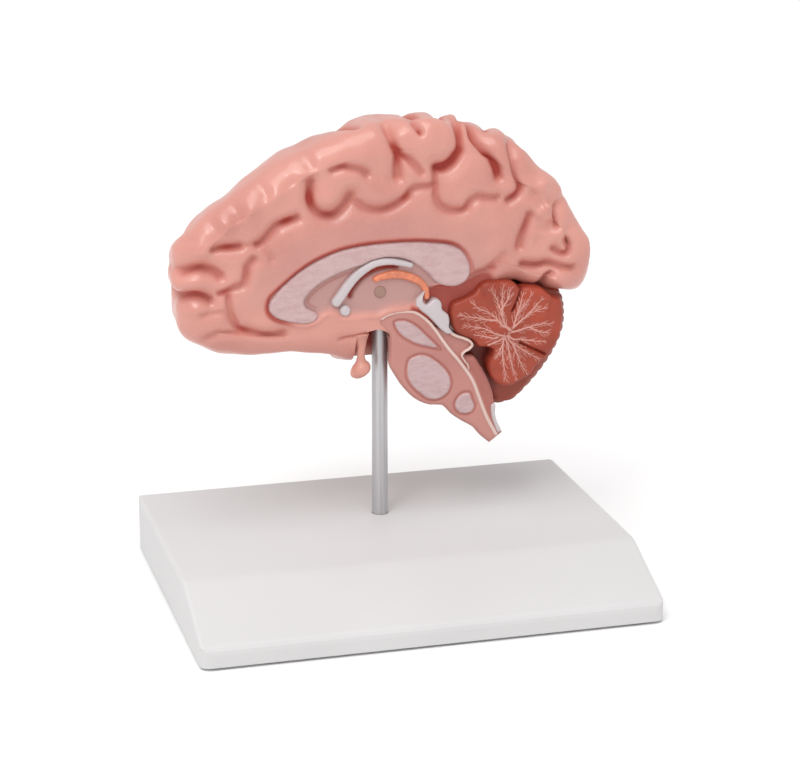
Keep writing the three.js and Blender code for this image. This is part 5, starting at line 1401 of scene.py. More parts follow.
def relief(name, outline, depths, rounding, spacing, material, height=None, fields=None):
    """A plate whose front is at the first depth plus the fall of its rounded edge plus height(points,
    distance to the edge), and whose flat back is at the second depth."""
    flat, triangles = filled(outline, spacing)
    distance = distance_to_line(flat, outline, closed=True)
    y = depths[0] + edge_fall(distance, rounding)
    if height:
        y = y + height(flat, distance)
    n, count = len(outline), len(flat)
    back = np.stack([outline[:, 0], np.full(n, depths[1]), outline[:, 1]], axis=1)
    points = np.vstack([np.stack([flat[:, 0], y, flat[:, 1]], axis=1), back])
    ring = np.arange(n)
    following = np.roll(ring, -1)
    walls = np.stack([ring, count + ring, count + following, following], axis=1)
    cap = (count + ring)[None, ::-1]
    if not turns_left(outline):
        walls, cap = walls[:, ::-1], cap[:, ::-1]
    values = {}
    for key, field in (fields or {}).items():
        values[key] = np.concatenate([field(flat, distance), np.zeros(n)])
    mesh = new_mesh(name, in_brain(points), [triangles, walls, cap], values)
    piece = add_object(name, mesh, material, "brain")
    sharpen(piece, PLATE_CREASE)
    return piece


print("the plates reach", INLAY_FLOOR, "mm behind the cut face")

# %% [markdown]
# ## Corpus callosum
#
# The large pale arch of the cut face is painted with short, dry brush strokes, which leave fine darker
# dashes. A flat plate would look like cut paper, so a noise that is stretched along the strokes drives its
# colour and a bump of half a tenth of a millimetre.

# %% Brushed paint


def inlay_paint(name, light, dark, turn=0.0):
    """Pale paint with fine, short brush dashes, which are stretched noise turned by an angle."""
    paint = Paint(name)
    dashes = paint.noise(620, 2, 0.6, stretch=(0.28, 1.0, 1.0), turn=(0, turn, 0)).clamp(0.42, 0.62)
    specks = paint.noise(1700, 1).clamp(0.4, 0.7)
    colour = (specks * 0.35).choose(dashes.choose(srgb(*light), srgb(*dark)), toned(light, 1.06))
    paint.set(Base_Color=colour, Roughness=0.48, Specular_IOR_Level=0.4)
    return paint.bump(dashes * 0.6 + specks * 0.4, 0.05)


CALLOSUM = inlay_paint("callosum_paint", (200, 170, 169), (194, 160, 160), turn=0.3)

# %% Corpus callosum
BRUSH_MARKS = (0.05, 3.0, 11)


def brushed(p, _):
    """Brush marks in thick paint, as very low waves."""
    return lumps(p, *BRUSH_MARKS)


callosum_edge = offset_outline(outline_of(CALLOSUM_EDGE), 0.25)
callosum = relief("fine_callosum", callosum_edge, (0.9, INLAY_FLOOR), 0.9, 0.6, CALLOSUM, brushed)
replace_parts(callosum, "corpus_callosum")
tell(callosum)

# %% [markdown]
# ## Septum and thalamus
#
# These two are no plates on the real model: they are the casting's own face between the lines of paint, as
# the picture shows. They are nodes of their own in the frame, so each is a thin plate just in front of the
# hemisphere that repeats its depths and its paint, and that meets it at its own edge.

# %% Septum and thalamus
SEPTUM_EDGE = [
    (-29.2, 6.4), (-28.6, 4.2), (-25, 2.4), (-21.5, 2.2), (-20.4, 4.2), (-17.2, 9.2), (-14, 12.8),
    (-10.6, 16), (-8.6, 17.6), (-12, 17.1), (-16.4, 15.6), (-20.7, 13.9), (-24.4, 11.7), (-27.5, 9.1),
]
THALAMUS_EDGE = [
    (-11.2, 5), (-10.6, 8.5), (-8, 11.2), (-4, 12.4), (2, 12.8), (8, 12), (12, 10.2), (13.2, 7.4),
    (11.8, 4), (8, 2.1), (1, 1.6), (-5, 1), (-9.4, 1.8),
]
LIFT, LIFT_BAND = 0.25, 1.4
THIN_EDGE = 0.01


def over_face(p, distance):
    """The hemisphere's own depth less a small lift, which is 0 at the edge."""
    return face_depth(p) - LIFT * smoothstep(0.0, LIFT_BAND, distance)


def over_face_paint(p, _):
    """The red paint and the painted shade of the face behind the plate."""
    return face_paint(p)


def over_face_pocket(p, _):
    """The paler paint of the face behind the plate."""
    return pocket_share(p)


FACE_FIELDS = {"furrow": over_face_paint, "pocket": over_face_pocket}
FACE_DEPTHS = (0, INLAY_FLOOR)
septum_edge = offset_outline(outline_of(SEPTUM_EDGE), 0.3)
septum = relief("fine_septum", septum_edge, FACE_DEPTHS, THIN_EDGE, 0.6, CORTEX, over_face, FACE_FIELDS)
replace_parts(septum, "septum_pellucidum")
tell(septum)
thalamus_edge = offset_outline(outline_of(THALAMUS_EDGE), 0.4)
thalamus = relief("fine_thalamus", thalamus_edge, FACE_DEPTHS, THIN_EDGE, 0.6, CORTEX, over_face, FACE_FIELDS)
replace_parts(thalamus, "thalamus")
tell(thalamus)

# %% [markdown]
# ## Fornix, commissure and adhesion
#
# The fornix is a white band that gets narrower on its way back, and under its front end lies the white dot of
# the commissure. The adhesion is a small brown disc on the thalamus. A band is given by its middle line and
# three half widths, which is easier to draw than its whole outline, and a disc by its middle and radius.

# %% Outlines of discs and bands
CIRCLE_SIDES = 48
BAND_STEP = 0.5
BAND_SHARES = (0, 0.3, 1)  # where along a band its three half widths are
LEAST_END = 0.04


def circle_of(centre, radius):
    """The outline of a round plate, from the cosine and the sine of its turn."""
    turn = np.linspace(0, 2 * math.pi, CIRCLE_SIDES, endpoint=False)
    return np.stack([centre[0] + radius * np.cos(turn), centre[1] + radius * np.sin(turn)], axis=1)


def band_outline(band):
    """The outline of a band along its middle line: half its width to both sides, and round at the ends."""
    points, halves = band
    line = evenly(spline(points), BAND_STEP)
    t = np.linspace(0, 1, len(line))
    half = np.interp(t, BAND_SHARES, halves)
    from_end = lengths_along(line)[-1] * np.minimum(t, 1 - t) / half
    half = half * np.sqrt(1 - (1 - np.clip(from_end, LEAST_END, 1)) ** 2)
    along = np.gradient(line, axis=0)
    along /= np.linalg.norm(along, axis=1)[:, None]
    side = np.stack([-along[:, 1], along[:, 0]], axis=1) * half[:, None]
    return np.vstack([line + side, (line - side)[::-1]])


print("points round a straight band of 10 mm:", len(band_outline(([(0, 0), (5, 0), (10, 0)], (1, 1, 1)))))

# %% Fornix and commissure
FORNIX_BAND = (
    [
        (-18.6, 3.6), (-15.5, 7.6), (-13.3, 10.7), (-10.7, 13.7), (-7.5, 16.3), (-2.9, 18.7), (2.5, 19.1),
        (8, 18), (11.6, 16.8),
    ],
    (1.8, 1.7, 1.1),
)
COMMISSURE = ((-14.3, 1.5), 2.1)
WHITE = plain_paint("white_paint", (203, 192, 194), 0.35, 0.03)

fornix = relief("fine_fornix", band_outline(FORNIX_BAND), (0.8, INLAY_FLOOR), 1.1, 0.4, WHITE)
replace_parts(fornix, "fornix")
tell(fornix)
commissure = relief("fine_commissure", circle_of(*COMMISSURE), (0.8, INLAY_FLOOR), 1.2, 0.4, WHITE)
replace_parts(commissure, "anterior_commissure")
tell(commissure)

# %% Interthalamic adhesion
ADHESION = ((-0.8, 7.6), 2.3)
ADHESION_PAINT = plain_paint("adhesion_paint", (166, 128, 114), 0.5)

adhesion = relief("fine_adhesion", circle_of(*ADHESION), (2.1, 3.2), 0.5, 0.4, ADHESION_PAINT)
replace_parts(adhesion, "interthalamic_adhesion")
tell(adhesion)

# %% [markdown]
# ## Choroid plexus
#
# The plexus is a lumpy orange band below the fornix. Its lumps could come from a bump alone, but at the edge
# they would look flat, so the plate itself is uneven by a fifth of a millimetre.

# %% Choroid plexus
PLEXUS_BAND = (
    [
        (-3.6, 12.4), (-0.2, 13.4), (5.2, 13.9), (10.6, 12.6), (14.6, 10.3), (16.6, 7.2), (16.8, 3.6),
    ],
    (1.0, 1.6, 1.1),
)
PLEXUS_LUMPS = (0.22, 2.2, 4)
PLEXUS = plain_paint("plexus_paint", (232, 136, 101), 0.35, 0.08)


def lumpy(p, _):
    """Small lumps, as short waves."""
    return lumps(p, *PLEXUS_LUMPS)


plexus = relief("fine_plexus", band_outline(PLEXUS_BAND), (1.3, INLAY_FLOOR), 0.9, 0.35, PLEXUS, lumpy)
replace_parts(plexus, "choroid_plexus")
tell(plexus)

# %% [markdown]
# ## Tectal plate
#
# The white tectal plate has two rounded hills behind the aqueduct. All of its form is in its outline, so a
# plate with a well rounded edge is enough.

# %% Tectal plate
TECTUM_EDGE = [
    (12.6, 1.8), (12.9, 3.9), (14.5, 5.6), (16, 7.2), (15.3, 4.8), (15.4, 2.9), (16.8, 1.9), (18.2, 2.9),
    (19.6, 3.7), (21.4, 3.4), (22.4, 1.8), (22.7, -0.4), (24.9, -2.6), (25.5, -5), (25.4, -7.4),
    (26.8, -9.6), (25, -10), (22.8, -8.7), (20.6, -6.4), (17.4, -2.8), (14.6, -0.4),
]

tectum = relief("fine_tectum", outline_of(TECTUM_EDGE, 0.35), (0.6, INLAY_FLOOR), 0.8, 0.4, WHITE)
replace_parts(tectum, "tectal_plate")
tell(tectum)

# %% [markdown]
# ## Brain stem
#
# The stem has a flat, painted face with a fine line engraved round each of its inlays, and a round body
# behind it. One lofted solid could be both, but its face would be too coarse for the engraving. So the face
# is a plate, and the body behind it is a row of half rings along the same edges.

# %% Outlines of the stem's inlays
PONS_INLAY_EDGE = [
    (8.7, -22.6), (9.9, -18.6), (13.8, -17), (17.7, -17.8), (21, -20.2), (24.2, -23.2), (26.2, -26.6),
    (26.6, -30.3), (24.8, -33.8), (21.1, -35.5), (17.4, -35.1), (14.2, -32.8), (11, -29.6), (9, -26.2),
]
MIDBRAIN_INLAY_EDGE = [
    (4.2, -3.8), (7.8, -3.3), (10.6, -4.3), (13.4, -6.2), (15.6, -8.4), (18.2, -11.1), (20.4, -13.4),
    (22.4, -16), (19.6, -15.4), (16.6, -14.6), (13.3, -13.6), (10.2, -12), (7.6, -10.2), (5.7, -8.2),
    (4.4, -5.9),
]
MEDULLA_INLAY_EDGE = [
    (27.5, -38.3), (28.8, -34.9), (31.3, -33.2), (34, -33.6), (35, -36.2), (36, -39), (34.9, -41.3),
    (32.2, -42.1), (29.2, -41.3),
]
LINING_BAND = (
    [
        (-1, -2.9), (1.4, -1.4), (4.2, -0.6), (9.6, -0.4), (12.4, -1), (15, -2.7), (17.8, -5.3),
        (20.2, -8.4), (24.7, -15), (30.1, -21.9), (34.6, -28.7), (37.2, -35.4), (40.2, -43.3),
        (44.4, -51.4),
    ],
    (0.45, 0.62, 0.7),
)
INLAY_EDGES = (PONS_INLAY_EDGE, MIDBRAIN_INLAY_EDGE, MEDULLA_INLAY_EDGE)
print("the lining is", lengths_along(spline(LINING_BAND[0]))[-1].round(1), "mm long")

# %% Back of the stem's face
BACK_SLOPE = (0.3, 1.6)  # from where to where behind the lining


def behind_lining(p):
    """How far a point lies on the back's side of the lining, from 0 to 1: the cross product of the lining's
    heading with the way from its nearest point."""
    line = evenly(spline(LINING_BAND[0]), 1.0)
    nearest = ((p[:, None, :] - line[None, :, :]) ** 2).sum(2).argmin(1)
    along = np.gradient(line, axis=0)[nearest]
    away = p - line[nearest]
    side = away[:, 1] * along[:, 0] - away[:, 0] * along[:, 1]
    return smoothstep(*BACK_SLOPE, side / np.linalg.norm(along, axis=1))


BACK_TEST = np.array([(29.1, -22.4), (31.1, -21.4)])
print("1 mm in front of the lining, and 1 mm behind it:", behind_lining(BACK_TEST).round(2))

# %% Height and paint of the stem's face
STEM = cortex_paint("stem_paint", (193, 131, 121), (193, 131, 121), (146, 62, 54))
STEM_FACE, STEM_PLATE = 1.5, 3.0
GROOVE_DEPTH, GROOVE_WIDTH, GROOVE_RED, GROOVE_REACH = 0.4, 0.5, 0.5, 3
STEM_LUMPS = (0.14, 12, 8)
# Behind the lining the face lies deeper, and towards the tip it is darkened by painted shade
BACK_DEPTH, BACK_PAINTED_SHADE = 0.5, 0.45
BACK_HEIGHTS = (-12, -24)  # from where to where downwards its red grows


def stem_groove(p):
    """1 on the line engraved round each inlay of the stem, and 0 away from it."""
    lines = [distance_to_line(p, outline_of(edge), GROOVE_REACH, closed=True) for edge in INLAY_EDGES]
    return bell(np.minimum.reduce(lines), GROOVE_WIDTH)


def stem_height(p, _):
    """The engraved lines, low waves, and the part behind the lining, which lies deeper."""
    return GROOVE_DEPTH * stem_groove(p) + lumps(p, *STEM_LUMPS) + BACK_DEPTH * behind_lining(p)


def stem_shade(p, _):
    """Red paint in the engraved lines, and painted shade behind the lining towards the tip."""
    back = BACK_PAINTED_SHADE * behind_lining(p) * smoothstep(*BACK_HEIGHTS, p[:, 1])
    return np.maximum(GROOVE_RED * stem_groove(p), back)


stem_depths = (STEM_FACE, STEM_FACE + STEM_PLATE)
stem = relief("fine_stem", stem_outline(), stem_depths, 1.4, 0.55, STEM, stem_height, {"furrow": stem_shade})
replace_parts(stem, "brain_stem")
tell(stem)

# %% Body of the stem
STEM_RINGS, STEM_SIDES = 90, 33
BODY_START = 1.3  # behind the face
BODY_INSET = 0.985
BODY_FULLNESS = 0.8


def between_stations(values):
    """The values of the stations at every ring, on straight lines between them."""
    rings = np.linspace(0, 1, STEM_RINGS)
    stations = np.linspace(0, 1, len(values))
    return np.stack([np.interp(rings, stations, column) for column in values.T], axis=1)


def stem_loft():
    """(points, faces) of the body. Each half ring runs from the front edge to the back edge by the cosine of
    its turn, and reaches behind the face by a power of its sine."""
    front, back, reach = (np.array([s[k] for s in STEM_STATIONS], float) for k in range(3))
    front, back, reach = between_stations(front), between_stations(back), between_stations(reach[:, None])
    turn = np.linspace(0, math.pi, STEM_SIDES)
    half = (front - back) / 2 * BODY_INSET
    flat = ((front + back) / 2)[:, None, :] + half[:, None, :] * np.cos(turn)[None, :, None]
    depth = STEM_FACE + BODY_START + (reach - BODY_START) * np.sin(turn)[None, :] ** BODY_FULLNESS
    rings = np.stack([flat[..., 0], depth, flat[..., 1]], axis=-1).reshape(-1, 3)
    return with_ends(rings, STEM_SIDES), polar_faces(STEM_RINGS, STEM_SIDES)


def stem_body():
    """The body, with the hole of the rod cut out of it."""
    points, faces = stem_loft()
    mesh = new_mesh("stem_body", in_brain(points), faces, {"furrow": np.zeros(len(points))})
    body = add_object("stem_body", mesh, STEM, "brain")
    cut_with(body, [rod_way()])
    sharpen(body, PLATE_CREASE)
    tell(body)


stem_body()

# %% [markdown]
# ## Inlays of the stem
#
# Three pale areas lie in the engraved lines of the stem, in the same brushed paint as the callosum. Each is
# half a millimetre smaller than its line, so that the line shows all round it as a thin red edge.

# %% Inlays of the stem
NUCLEUS = inlay_paint("nucleus_paint", (198, 169, 170), (191, 159, 160), turn=1.2)


def stem_inlay(name, edge):
    """A low plate inside the engraved line of its edge."""
    outline = offset_outline(outline_of(edge), -GROOVE_WIDTH)
    piece = relief(name, outline, (STEM_FACE - 0.3, STEM_FACE + 1), 0.5, 0.5, NUCLEUS, brushed)
    tell(piece)
    return piece


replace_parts(stem_inlay("fine_pons_inlay", PONS_INLAY_EDGE), "pons_inlay")
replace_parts(stem_inlay("fine_midbrain_inlay", MIDBRAIN_INLAY_EDGE), "midbrain_inlay")
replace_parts(stem_inlay("fine_medulla_inlay", MEDULLA_INLAY_EDGE), "medulla_inlay")

# %% [markdown]
# ## Aqueduct and fourth ventricle
#
# A thin cream line runs down the stem and marks the lining of the aqueduct, and another one, the velum, folds
# round the ventricle. They are painted ridges, so they are narrow bands like the fornix. The wall between
# them lies deeper, and a white strip shows at the back of the stem's tip.

# %% Lining, ventricle and strip
VENTRICLE_EDGE = [
    (20.5, -7.4), (22.8, -8.6), (25, -9.8), (27, -10.5), (29, -11.6), (31.5, -12.6), (33.6, -13.9),
    (34.3, -15), (33.2, -16.6), (31.6, -18), (31, -19.2), (32, -21.6), (33.2, -24), (33.4, -26.4),
    (30.5, -23.4), (27, -18.6), (24, -14.2), (21.4, -10.4), (20, -8.4),
]
VELUM_BAND = (
    [
        (26, -9.8), (28.6, -11.3), (31.3, -12.3), (33.6, -13.6), (34.5, -15), (33.4, -16.4),
        (31.3, -17.6), (30.5, -18.9), (31.4, -20.8), (32.9, -22.9), (33.1, -24.6),
    ],
    (0.5, 0.5, 0.3),
)
STEM_STRIP_EDGE = [
    (42.4, -39), (43.8, -39), (43.9, -43), (44.7, -46), (46.2, -49.8), (45, -50.4), (43.3, -46.6),
    (42.3, -43),
]
CREAM = plain_paint("cream_paint", (226, 196, 186), 0.4, 0.03)

lining_depths = (STEM_FACE - 0.45, STEM_FACE + 0.6)
lining = relief("fine_lining", band_outline(LINING_BAND), lining_depths, 0.5, 0.3, CREAM)
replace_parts(lining, "aqueduct_lining")
tell(lining)
wall = relief("fine_ventricle_wall", outline_of(VENTRICLE_EDGE), (2.4, 5.6), 0.3, 0.5, STEM, brushed)
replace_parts(wall, "fourth_ventricle_wall")
tell(wall)
velum = relief("fine_velum", band_outline(VELUM_BAND), (0.9, INLAY_FLOOR), 0.4, 0.3, CREAM)
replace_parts(velum, "medullary_velum")
tell(velum)
strip_depths = (STEM_FACE - 0.1, STEM_FACE + 2)
strip = relief("stem_strip", outline_of(STEM_STRIP_EDGE), strip_depths, 0.6, 0.4, WHITE)
tell(strip)

# %% [markdown]
# ## Pituitary
#
# The gland hangs from a thin stalk under the front of the face. Both are round, so they are one profile
# turned about an upright axis, as the rod is. The real one isn't quite upright, so the finished points are
# then moved: the lower the point, the further it leans.

# %% Pituitary
PITUITARY_AXIS = (-7.7, 4.3)
PITUITARY_PROFILE = [
    (0, -25.4), (2.2, -25.1), (3.5, -24), (3.8, -22.6), (3.2, -20.9), (2.1, -19.6), (1.5, -17.8),
    (1.5, -15), (1.9, -13), (2.6, -11), (3.3, -9.4), (3.5, -8.6), (2.4, -8), (2.4, -5), (0, -5),
]
GLAND = plain_paint("gland_paint", (216, 150, 134), 0.4)
GLAND_SIDES = 40
GLAND_LEAN = 0.3
STALK_LEAN = 0.6
GLAND_RISE = 0.5
LEAN_HEIGHTS, ROOT_HEIGHTS = (-15, -22), (-14, -9)


def fine_pituitary():
    """The gland and its stalk: a turned profile that leans below, and bends forward at its root."""
    profile = spline(PITUITARY_PROFILE[1:-1], samples=6)
    profile = np.vstack([PITUITARY_PROFILE[0], profile, PITUITARY_PROFILE[-1]])
    points, faces = lathe(profile, GLAND_SIDES)
    lean = GLAND_LEAN * smoothstep(*LEAN_HEIGHTS, points[:, 2])
    points[:, 2] += lean * points[:, 0]
    points[:, 0] += PITUITARY_AXIS[0] - lean - STALK_LEAN * smoothstep(*ROOT_HEIGHTS, points[:, 2])
    points += [0, PITUITARY_AXIS[1], GLAND_RISE]
    piece = add_object("fine_pituitary", new_mesh("fine_pituitary", in_brain(points), faces), GLAND, "brain")
    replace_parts(piece, "pituitary")
    tell(piece)


fine_pituitary()

# %% [markdown]
# ## Cerebellum
#
# The side of the cerebellum is a second, smaller half form behind the vermis, and its folia are thin ribs
# that run from the front to the back. Ribs could be modelled one by one, but here they are one wave of the
# height, bent a little, whose valleys are sharp and painted dark.

# %% Cerebellum paint


def cerebellum_paint(name, light, dark):
    """Red-brown paint in soft clouds, darker between the folia, and dark where the mesh carries painted
    shade.
    """
    paint = Paint(name)
    cloud = paint.noise(90, 3).clamp(0.3, 0.7)
    base = cloud.choose(srgb(*light), toned(light, 0.9))
    paint.set(Base_Color=paint.field("furrow").clamp(0.0, 1.0).choose(base, srgb(*dark)), Roughness=0.38)
    paint.set(Specular_IOR_Level=0.3, Coat_Weight=0.1, Coat_Roughness=0.25)
    return paint.bump(paint.noise(700, 3), 0.06)


CEREBELLUM = cerebellum_paint("cerebellum_paint", (158, 74, 58), (112, 36, 26))

# %% Folia of the cerebellum
CEREBELLUM_EDGE = [
    (29.4, -4), (37.6, 1.6), (44, 4.4), (50, 5.4), (62, 5.4), (69, 4.2), (73, -0.2), (74.4, -8),
    (73.6, -15), (70.6, -22), (65.5, -29.5), (59, -36.5), (52.5, -41.5), (45.5, -41.6), (38.4, -33.4),
    (33, -23), (29.4, -13),
]
CEREBELLUM_CENTRE = (58.0, -14.0)
FOLIA_PITCH = 3.2
FOLIA_SLANT = (0.12, 0.1)  # with x and with the depth
FOLIA_WOBBLE = (0.5, 18, 9)
FOLIA_DEPTH, FOLIA_FULLNESS = 0.55, 1.6
FOLIA_SINK = 0.15
FOLIA_RED, FOLIA_RED_FULLNESS = 0.8, 4
HIDDEN_PAINTED_SHADE = 0.8
SHOWN_BAND, HIDDEN_BAND = (1.0, 1.8), (1.2, 1.9)  # along v
STEM_SIDE = (43, 49)  # along x, where the stem ends


def folia_sink(points, v):
    """(depth, paint) of the folia: powers of the valleys that the size of a sine leaves where it is 0. The
    part that is hidden behind the stem is painted dark as painted shade."""
    x, y, z = points.T
    slant = FOLIA_SLANT[0] * (x - CEREBELLUM_CENTRE[0]) + FOLIA_SLANT[1] * y
    wave = (z + slant + lumps(points, *FOLIA_WOBBLE)) / FOLIA_PITCH
    valley = 1 - np.abs(np.sin(math.pi * wave))
    shown = smoothstep(*SHOWN_BAND, v)
    # Painted shade on the part of the cerebellum behind the stem
    hidden = HIDDEN_PAINTED_SHADE * (1 - smoothstep(*HIDDEN_BAND, v)) * (1 - smoothstep(*STEM_SIDE, x))
    depth = FOLIA_DEPTH * valley**FOLIA_FULLNESS * shown + FOLIA_SINK
    return depth, np.maximum(FOLIA_RED * valley**FOLIA_RED_FULLNESS * shown, hidden)


print("folia over the height:", round(np.ptp(np.array(CEREBELLUM_EDGE)[:, 1]) / FOLIA_PITCH))

# %% Cerebellum
CEREBELLUM_WIDTH = 46.0
CEREBELLUM_RIM = 5.0
CEREBELLUM_POWER = 2.1
CEREBELLUM_MIDDLE = 20.0
CEREBELLUM_COLUMNS = 260
CEREBELLUM_ROWS = [np.linspace(0.05, 1, 16), np.linspace(1, 2, 14)[1:], np.linspace(2, 2.98, 100)[1:]]
VERMIS_BACK = 8.0


def fine_cerebellum():
    """The skin of the half form, sunk along its normals by the depth of the folia."""
    form = HalfForm(
        CEREBELLUM_EDGE, CEREBELLUM_CENTRE, CEREBELLUM_CENTRE, VERMIS_BACK, CEREBELLUM_WIDTH,
        CEREBELLUM_RIM, CEREBELLUM_POWER, CEREBELLUM_MIDDLE)
    rows = np.concatenate(CEREBELLUM_ROWS)
    u, v = grid_of(CEREBELLUM_COLUMNS, rows)
    points = form.at(u, v)
    depth, paint = folia_sink(points, v)
    points = with_ends(points - form.normal(u, v) * depth[:, None], CEREBELLUM_COLUMNS)
    values = {"furrow": with_ends(paint, CEREBELLUM_COLUMNS)}
    mesh = new_mesh("fine_cerebellum", in_brain(points), polar_faces(len(rows), CEREBELLUM_COLUMNS), values)
    piece = add_object("fine_cerebellum", mesh, CEREBELLUM, "brain")
    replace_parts(piece, "cerebellum")
    tell(piece)


fine_cerebellum()

# %% [markdown]
# ## Vermis
#
# The vermis is the cut middle of the cerebellum. Its lobules swell softly between a few fissures, and it is
# painted in the same red-brown. It is one more plate, and the furrows of the hemisphere serve for its
# fissures too.

# %% Outline and fissures of the vermis
VERMIS_EDGE = [
    (26.8, 1.2), (26, -1.6), (26.2, -4.4), (26.8, -7.4), (28.2, -9.9), (31.2, -11.9), (34.2, -13.2),
    (36, -14.8), (37.2, -16.2), (40, -16.6), (42.6, -17.6), (42.4, -19.6), (41.4, -21.6), (41, -24.4),
    (41.9, -27.6), (43.6, -30.4), (46, -32), (48.8, -32.6), (51.8, -31.9), (54.3, -30.4), (56.6, -29.4),
    (58.6, -28), (59.4, -26.2), (60.9, -24.9), (64, -22.3), (66.7, -19.2), (68.9, -15), (69.9, -11.3),
    (70.4, -7.4), (70.3, -3.2), (69.2, 0.2), (66.2, 1.2), (63.8, 3.3), (61.6, 5), (58.4, 5.7), (56, 5.9),
    (53.4, 5.5), (51.4, 7.4), (49, 8.5), (46.3, 8.7), (43, 8.9), (39.8, 8.7), (37.8, 7.6), (35.3, 5),
    (31.9, 3.2), (28.8, 2.2),
]
# Each as its depth, its half width and the points that it runs through
VERMIS_FISSURES = [
    (1.4, 0.5, [(54, 6.4), (53.4, 4.2), (52.2, 1.4), (51.4, -0.6), (50.2, -3.2)]),
    (1.3, 0.5, [(53.3, -15.6), (56.9, -17.6), (60.8, -19.5), (63.5, -21)]),
    (0.5, 0.5, [(45.4, 10), (45.2, 5), (44.8, 1)]),
    (0.5, 0.5, [(36.8, 8), (39.4, 3.6)]),
    (0.4, 0.5, [(66.6, 3), (65, -1), (64.4, -4)]),
]
print("fissures of the vermis:", len(VERMIS_FISSURES))

# %% Vermis
VERMIS = cerebellum_paint("vermis_paint", (170, 72, 52), (118, 38, 28))
VERMIS_FACE = 1.0
VERMIS_ROUNDING = 1.2
VERMIS_LUMPS = (0.16, 6, 6)
FISSURE_SHARE, FISSURE_RED = 0.8, 1.7
LOBULE_FALL, LOBULE_BAND = 0.35, 3.4
VERMIS_EDGE_PAINTED_SHADE, VERMIS_EDGE_WIDTH = 0.4, 0.8


def vermis_height(p, distance):
    """The fissures, a wide, low fall towards the edge, and low waves."""
    depth, _ = furrow_field(p, VERMIS_FISSURES)
    return depth * FISSURE_SHARE + edge_fall(distance, LOBULE_BAND) * LOBULE_FALL + lumps(p, *VERMIS_LUMPS)


def vermis_shade(p, distance):
    """Dark paint in the fissures, and weaker painted shade along the rounded edge."""
    _, paint = furrow_field(p, VERMIS_FISSURES)
    # Painted shade along the vermis's rounded edge
    return np.maximum(np.minimum(1, paint * FISSURE_RED), VERMIS_EDGE_PAINTED_SHADE * bell(distance, VERMIS_EDGE_WIDTH))


vermis_outline = outline_of(VERMIS_EDGE)
vermis = relief(
    "fine_vermis", vermis_outline, (VERMIS_FACE, VERMIS_BACK), VERMIS_ROUNDING, 0.55, VERMIS,
    vermis_height, {"furrow": vermis_shade})
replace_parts(vermis, "vermis")
tell(vermis)

# %% [markdown]
# ## Tree of white matter
#
# Raised on the vermis is a tree in pale paint, with branches into every lobule and many fine twigs. The
# branches are traced from the photograph, and so many twigs are best grown by a rule: on both sides of each
# branch they lean to its tip with chance bends, and twigs grow on twigs. What would leave the vermis is left
# out. The chance numbers start from a fixed seed, so the tree is the same in every run.

# %% Branches of the tree
# Each from its root to its tip
TREE_BRANCHES = [
    [(40.4, -15.6), (43, -14.7), (46, -13.4), (49, -11.4), (50.4, -9.4)],
    [(49.6, -10.6), (48.6, -9.4), (46.1, -8.3), (43.3, -4.9), (40, -2.5), (36, -0.5), (33.4, 2.6)],
    [(48.8, -10.4), (47.3, -8.4), (46.2, -5.5), (45, -1.6), (43.4, 2.9), (41.2, 6.9)],
    [(46, -4.8), (46, -1), (45.9, 2.6), (46.4, 7.6)],
    [(45.2, -2.4), (48, 1.6), (49.2, 6.6)],
    [(50.2, -9.8), (51, -7), (52, -4.2), (54.4, -1.4), (56.4, 1.4), (57.5, 4.2)],
    [(51.6, -5), (53, -1), (53.6, 1.6), (54.6, 4)],
    [(50.4, -9.4), (53.6, -6.6), (56.6, -4.6), (60, -3.2), (64.4, -2.2)],
    [(56.4, -4.6), (59.4, -1.2), (62, 1.4)],
    [(49.6, -11), (51.3, -10.9), (56.3, -9.6), (61.3, -8.7), (66.4, -8.9)],
    [(56.6, -9.6), (60.4, -11.6), (65.4, -12.4)],
    [(48.4, -12.2), (50.2, -13.8), (53.5, -14.2), (58.6, -15.2), (63.6, -15.8)],
    [(48, -12.4), (49.4, -14.8), (52.4, -17), (56, -19.6), (59.4, -21.6), (61.8, -23.4)],
    [(50.4, -15.6), (51.8, -19.4), (53.4, -23.4), (55.6, -27.2), (56.6, -28.8)],
    [(47.2, -13), (48.4, -16.6), (49.4, -21.6), (50.6, -26), (52, -30.4)],
    [(46.6, -13.2), (46.3, -16.4), (46.3, -20.4), (46.9, -24.8), (48, -30.6)],
    [(46.4, -15.4), (44.8, -18.6), (43.4, -21.6)],
    [(47.4, -12.6), (43.4, -11.3), (38.9, -8.9), (34.4, -7.9), (30.4, -7.1)],
    [(44.4, -6.2), (40, -5.6), (36, -4.5), (31.4, -3.6), (28.6, -2.6)],
    [(44.6, -12.6), (42.8, -13), (38.9, -11.9), (34.6, -10.8)],
]
print("branches of the tree:", len(TREE_BRANCHES))

# %% Ridges
STRAND_SIDES = 6
STRAND_FOOT = 0.12  # how deep its sides stand in the ground
STRAND_HEIGHT, STRAND_LEAST = 0.55, 0.14  # share of its half width, and what is added to it


def strand(line, ground, root, tip):
    """(points, faces) of a low ridge: flattened half circles across the line, narrower to its tip."""
    along = np.gradient(line, axis=0)
    along /= np.linalg.norm(along, axis=1)[:, None]
    side = np.stack([-along[:, 1], along[:, 0]], axis=1)
    half = np.linspace(root, tip, len(line))[:, None] / 2
    turn = np.linspace(0, math.pi, STRAND_SIDES)[None, :]
    flat = line[:, None, :] + side[:, None, :] * (half * np.cos(turn))[..., None]
    depth = ground[:, None] + STRAND_FOOT - (half * STRAND_HEIGHT + STRAND_LEAST) * np.sin(turn)
    rings = np.stack([flat[..., 0], depth, flat[..., 1]], axis=-1).reshape(-1, 3)
    return with_ends(rings, STRAND_SIDES), polar_faces(len(line), STRAND_SIDES)


print("a ridge of 10 points has", sum(len(faces) for faces in polar_faces(10, STRAND_SIDES)), "faces")

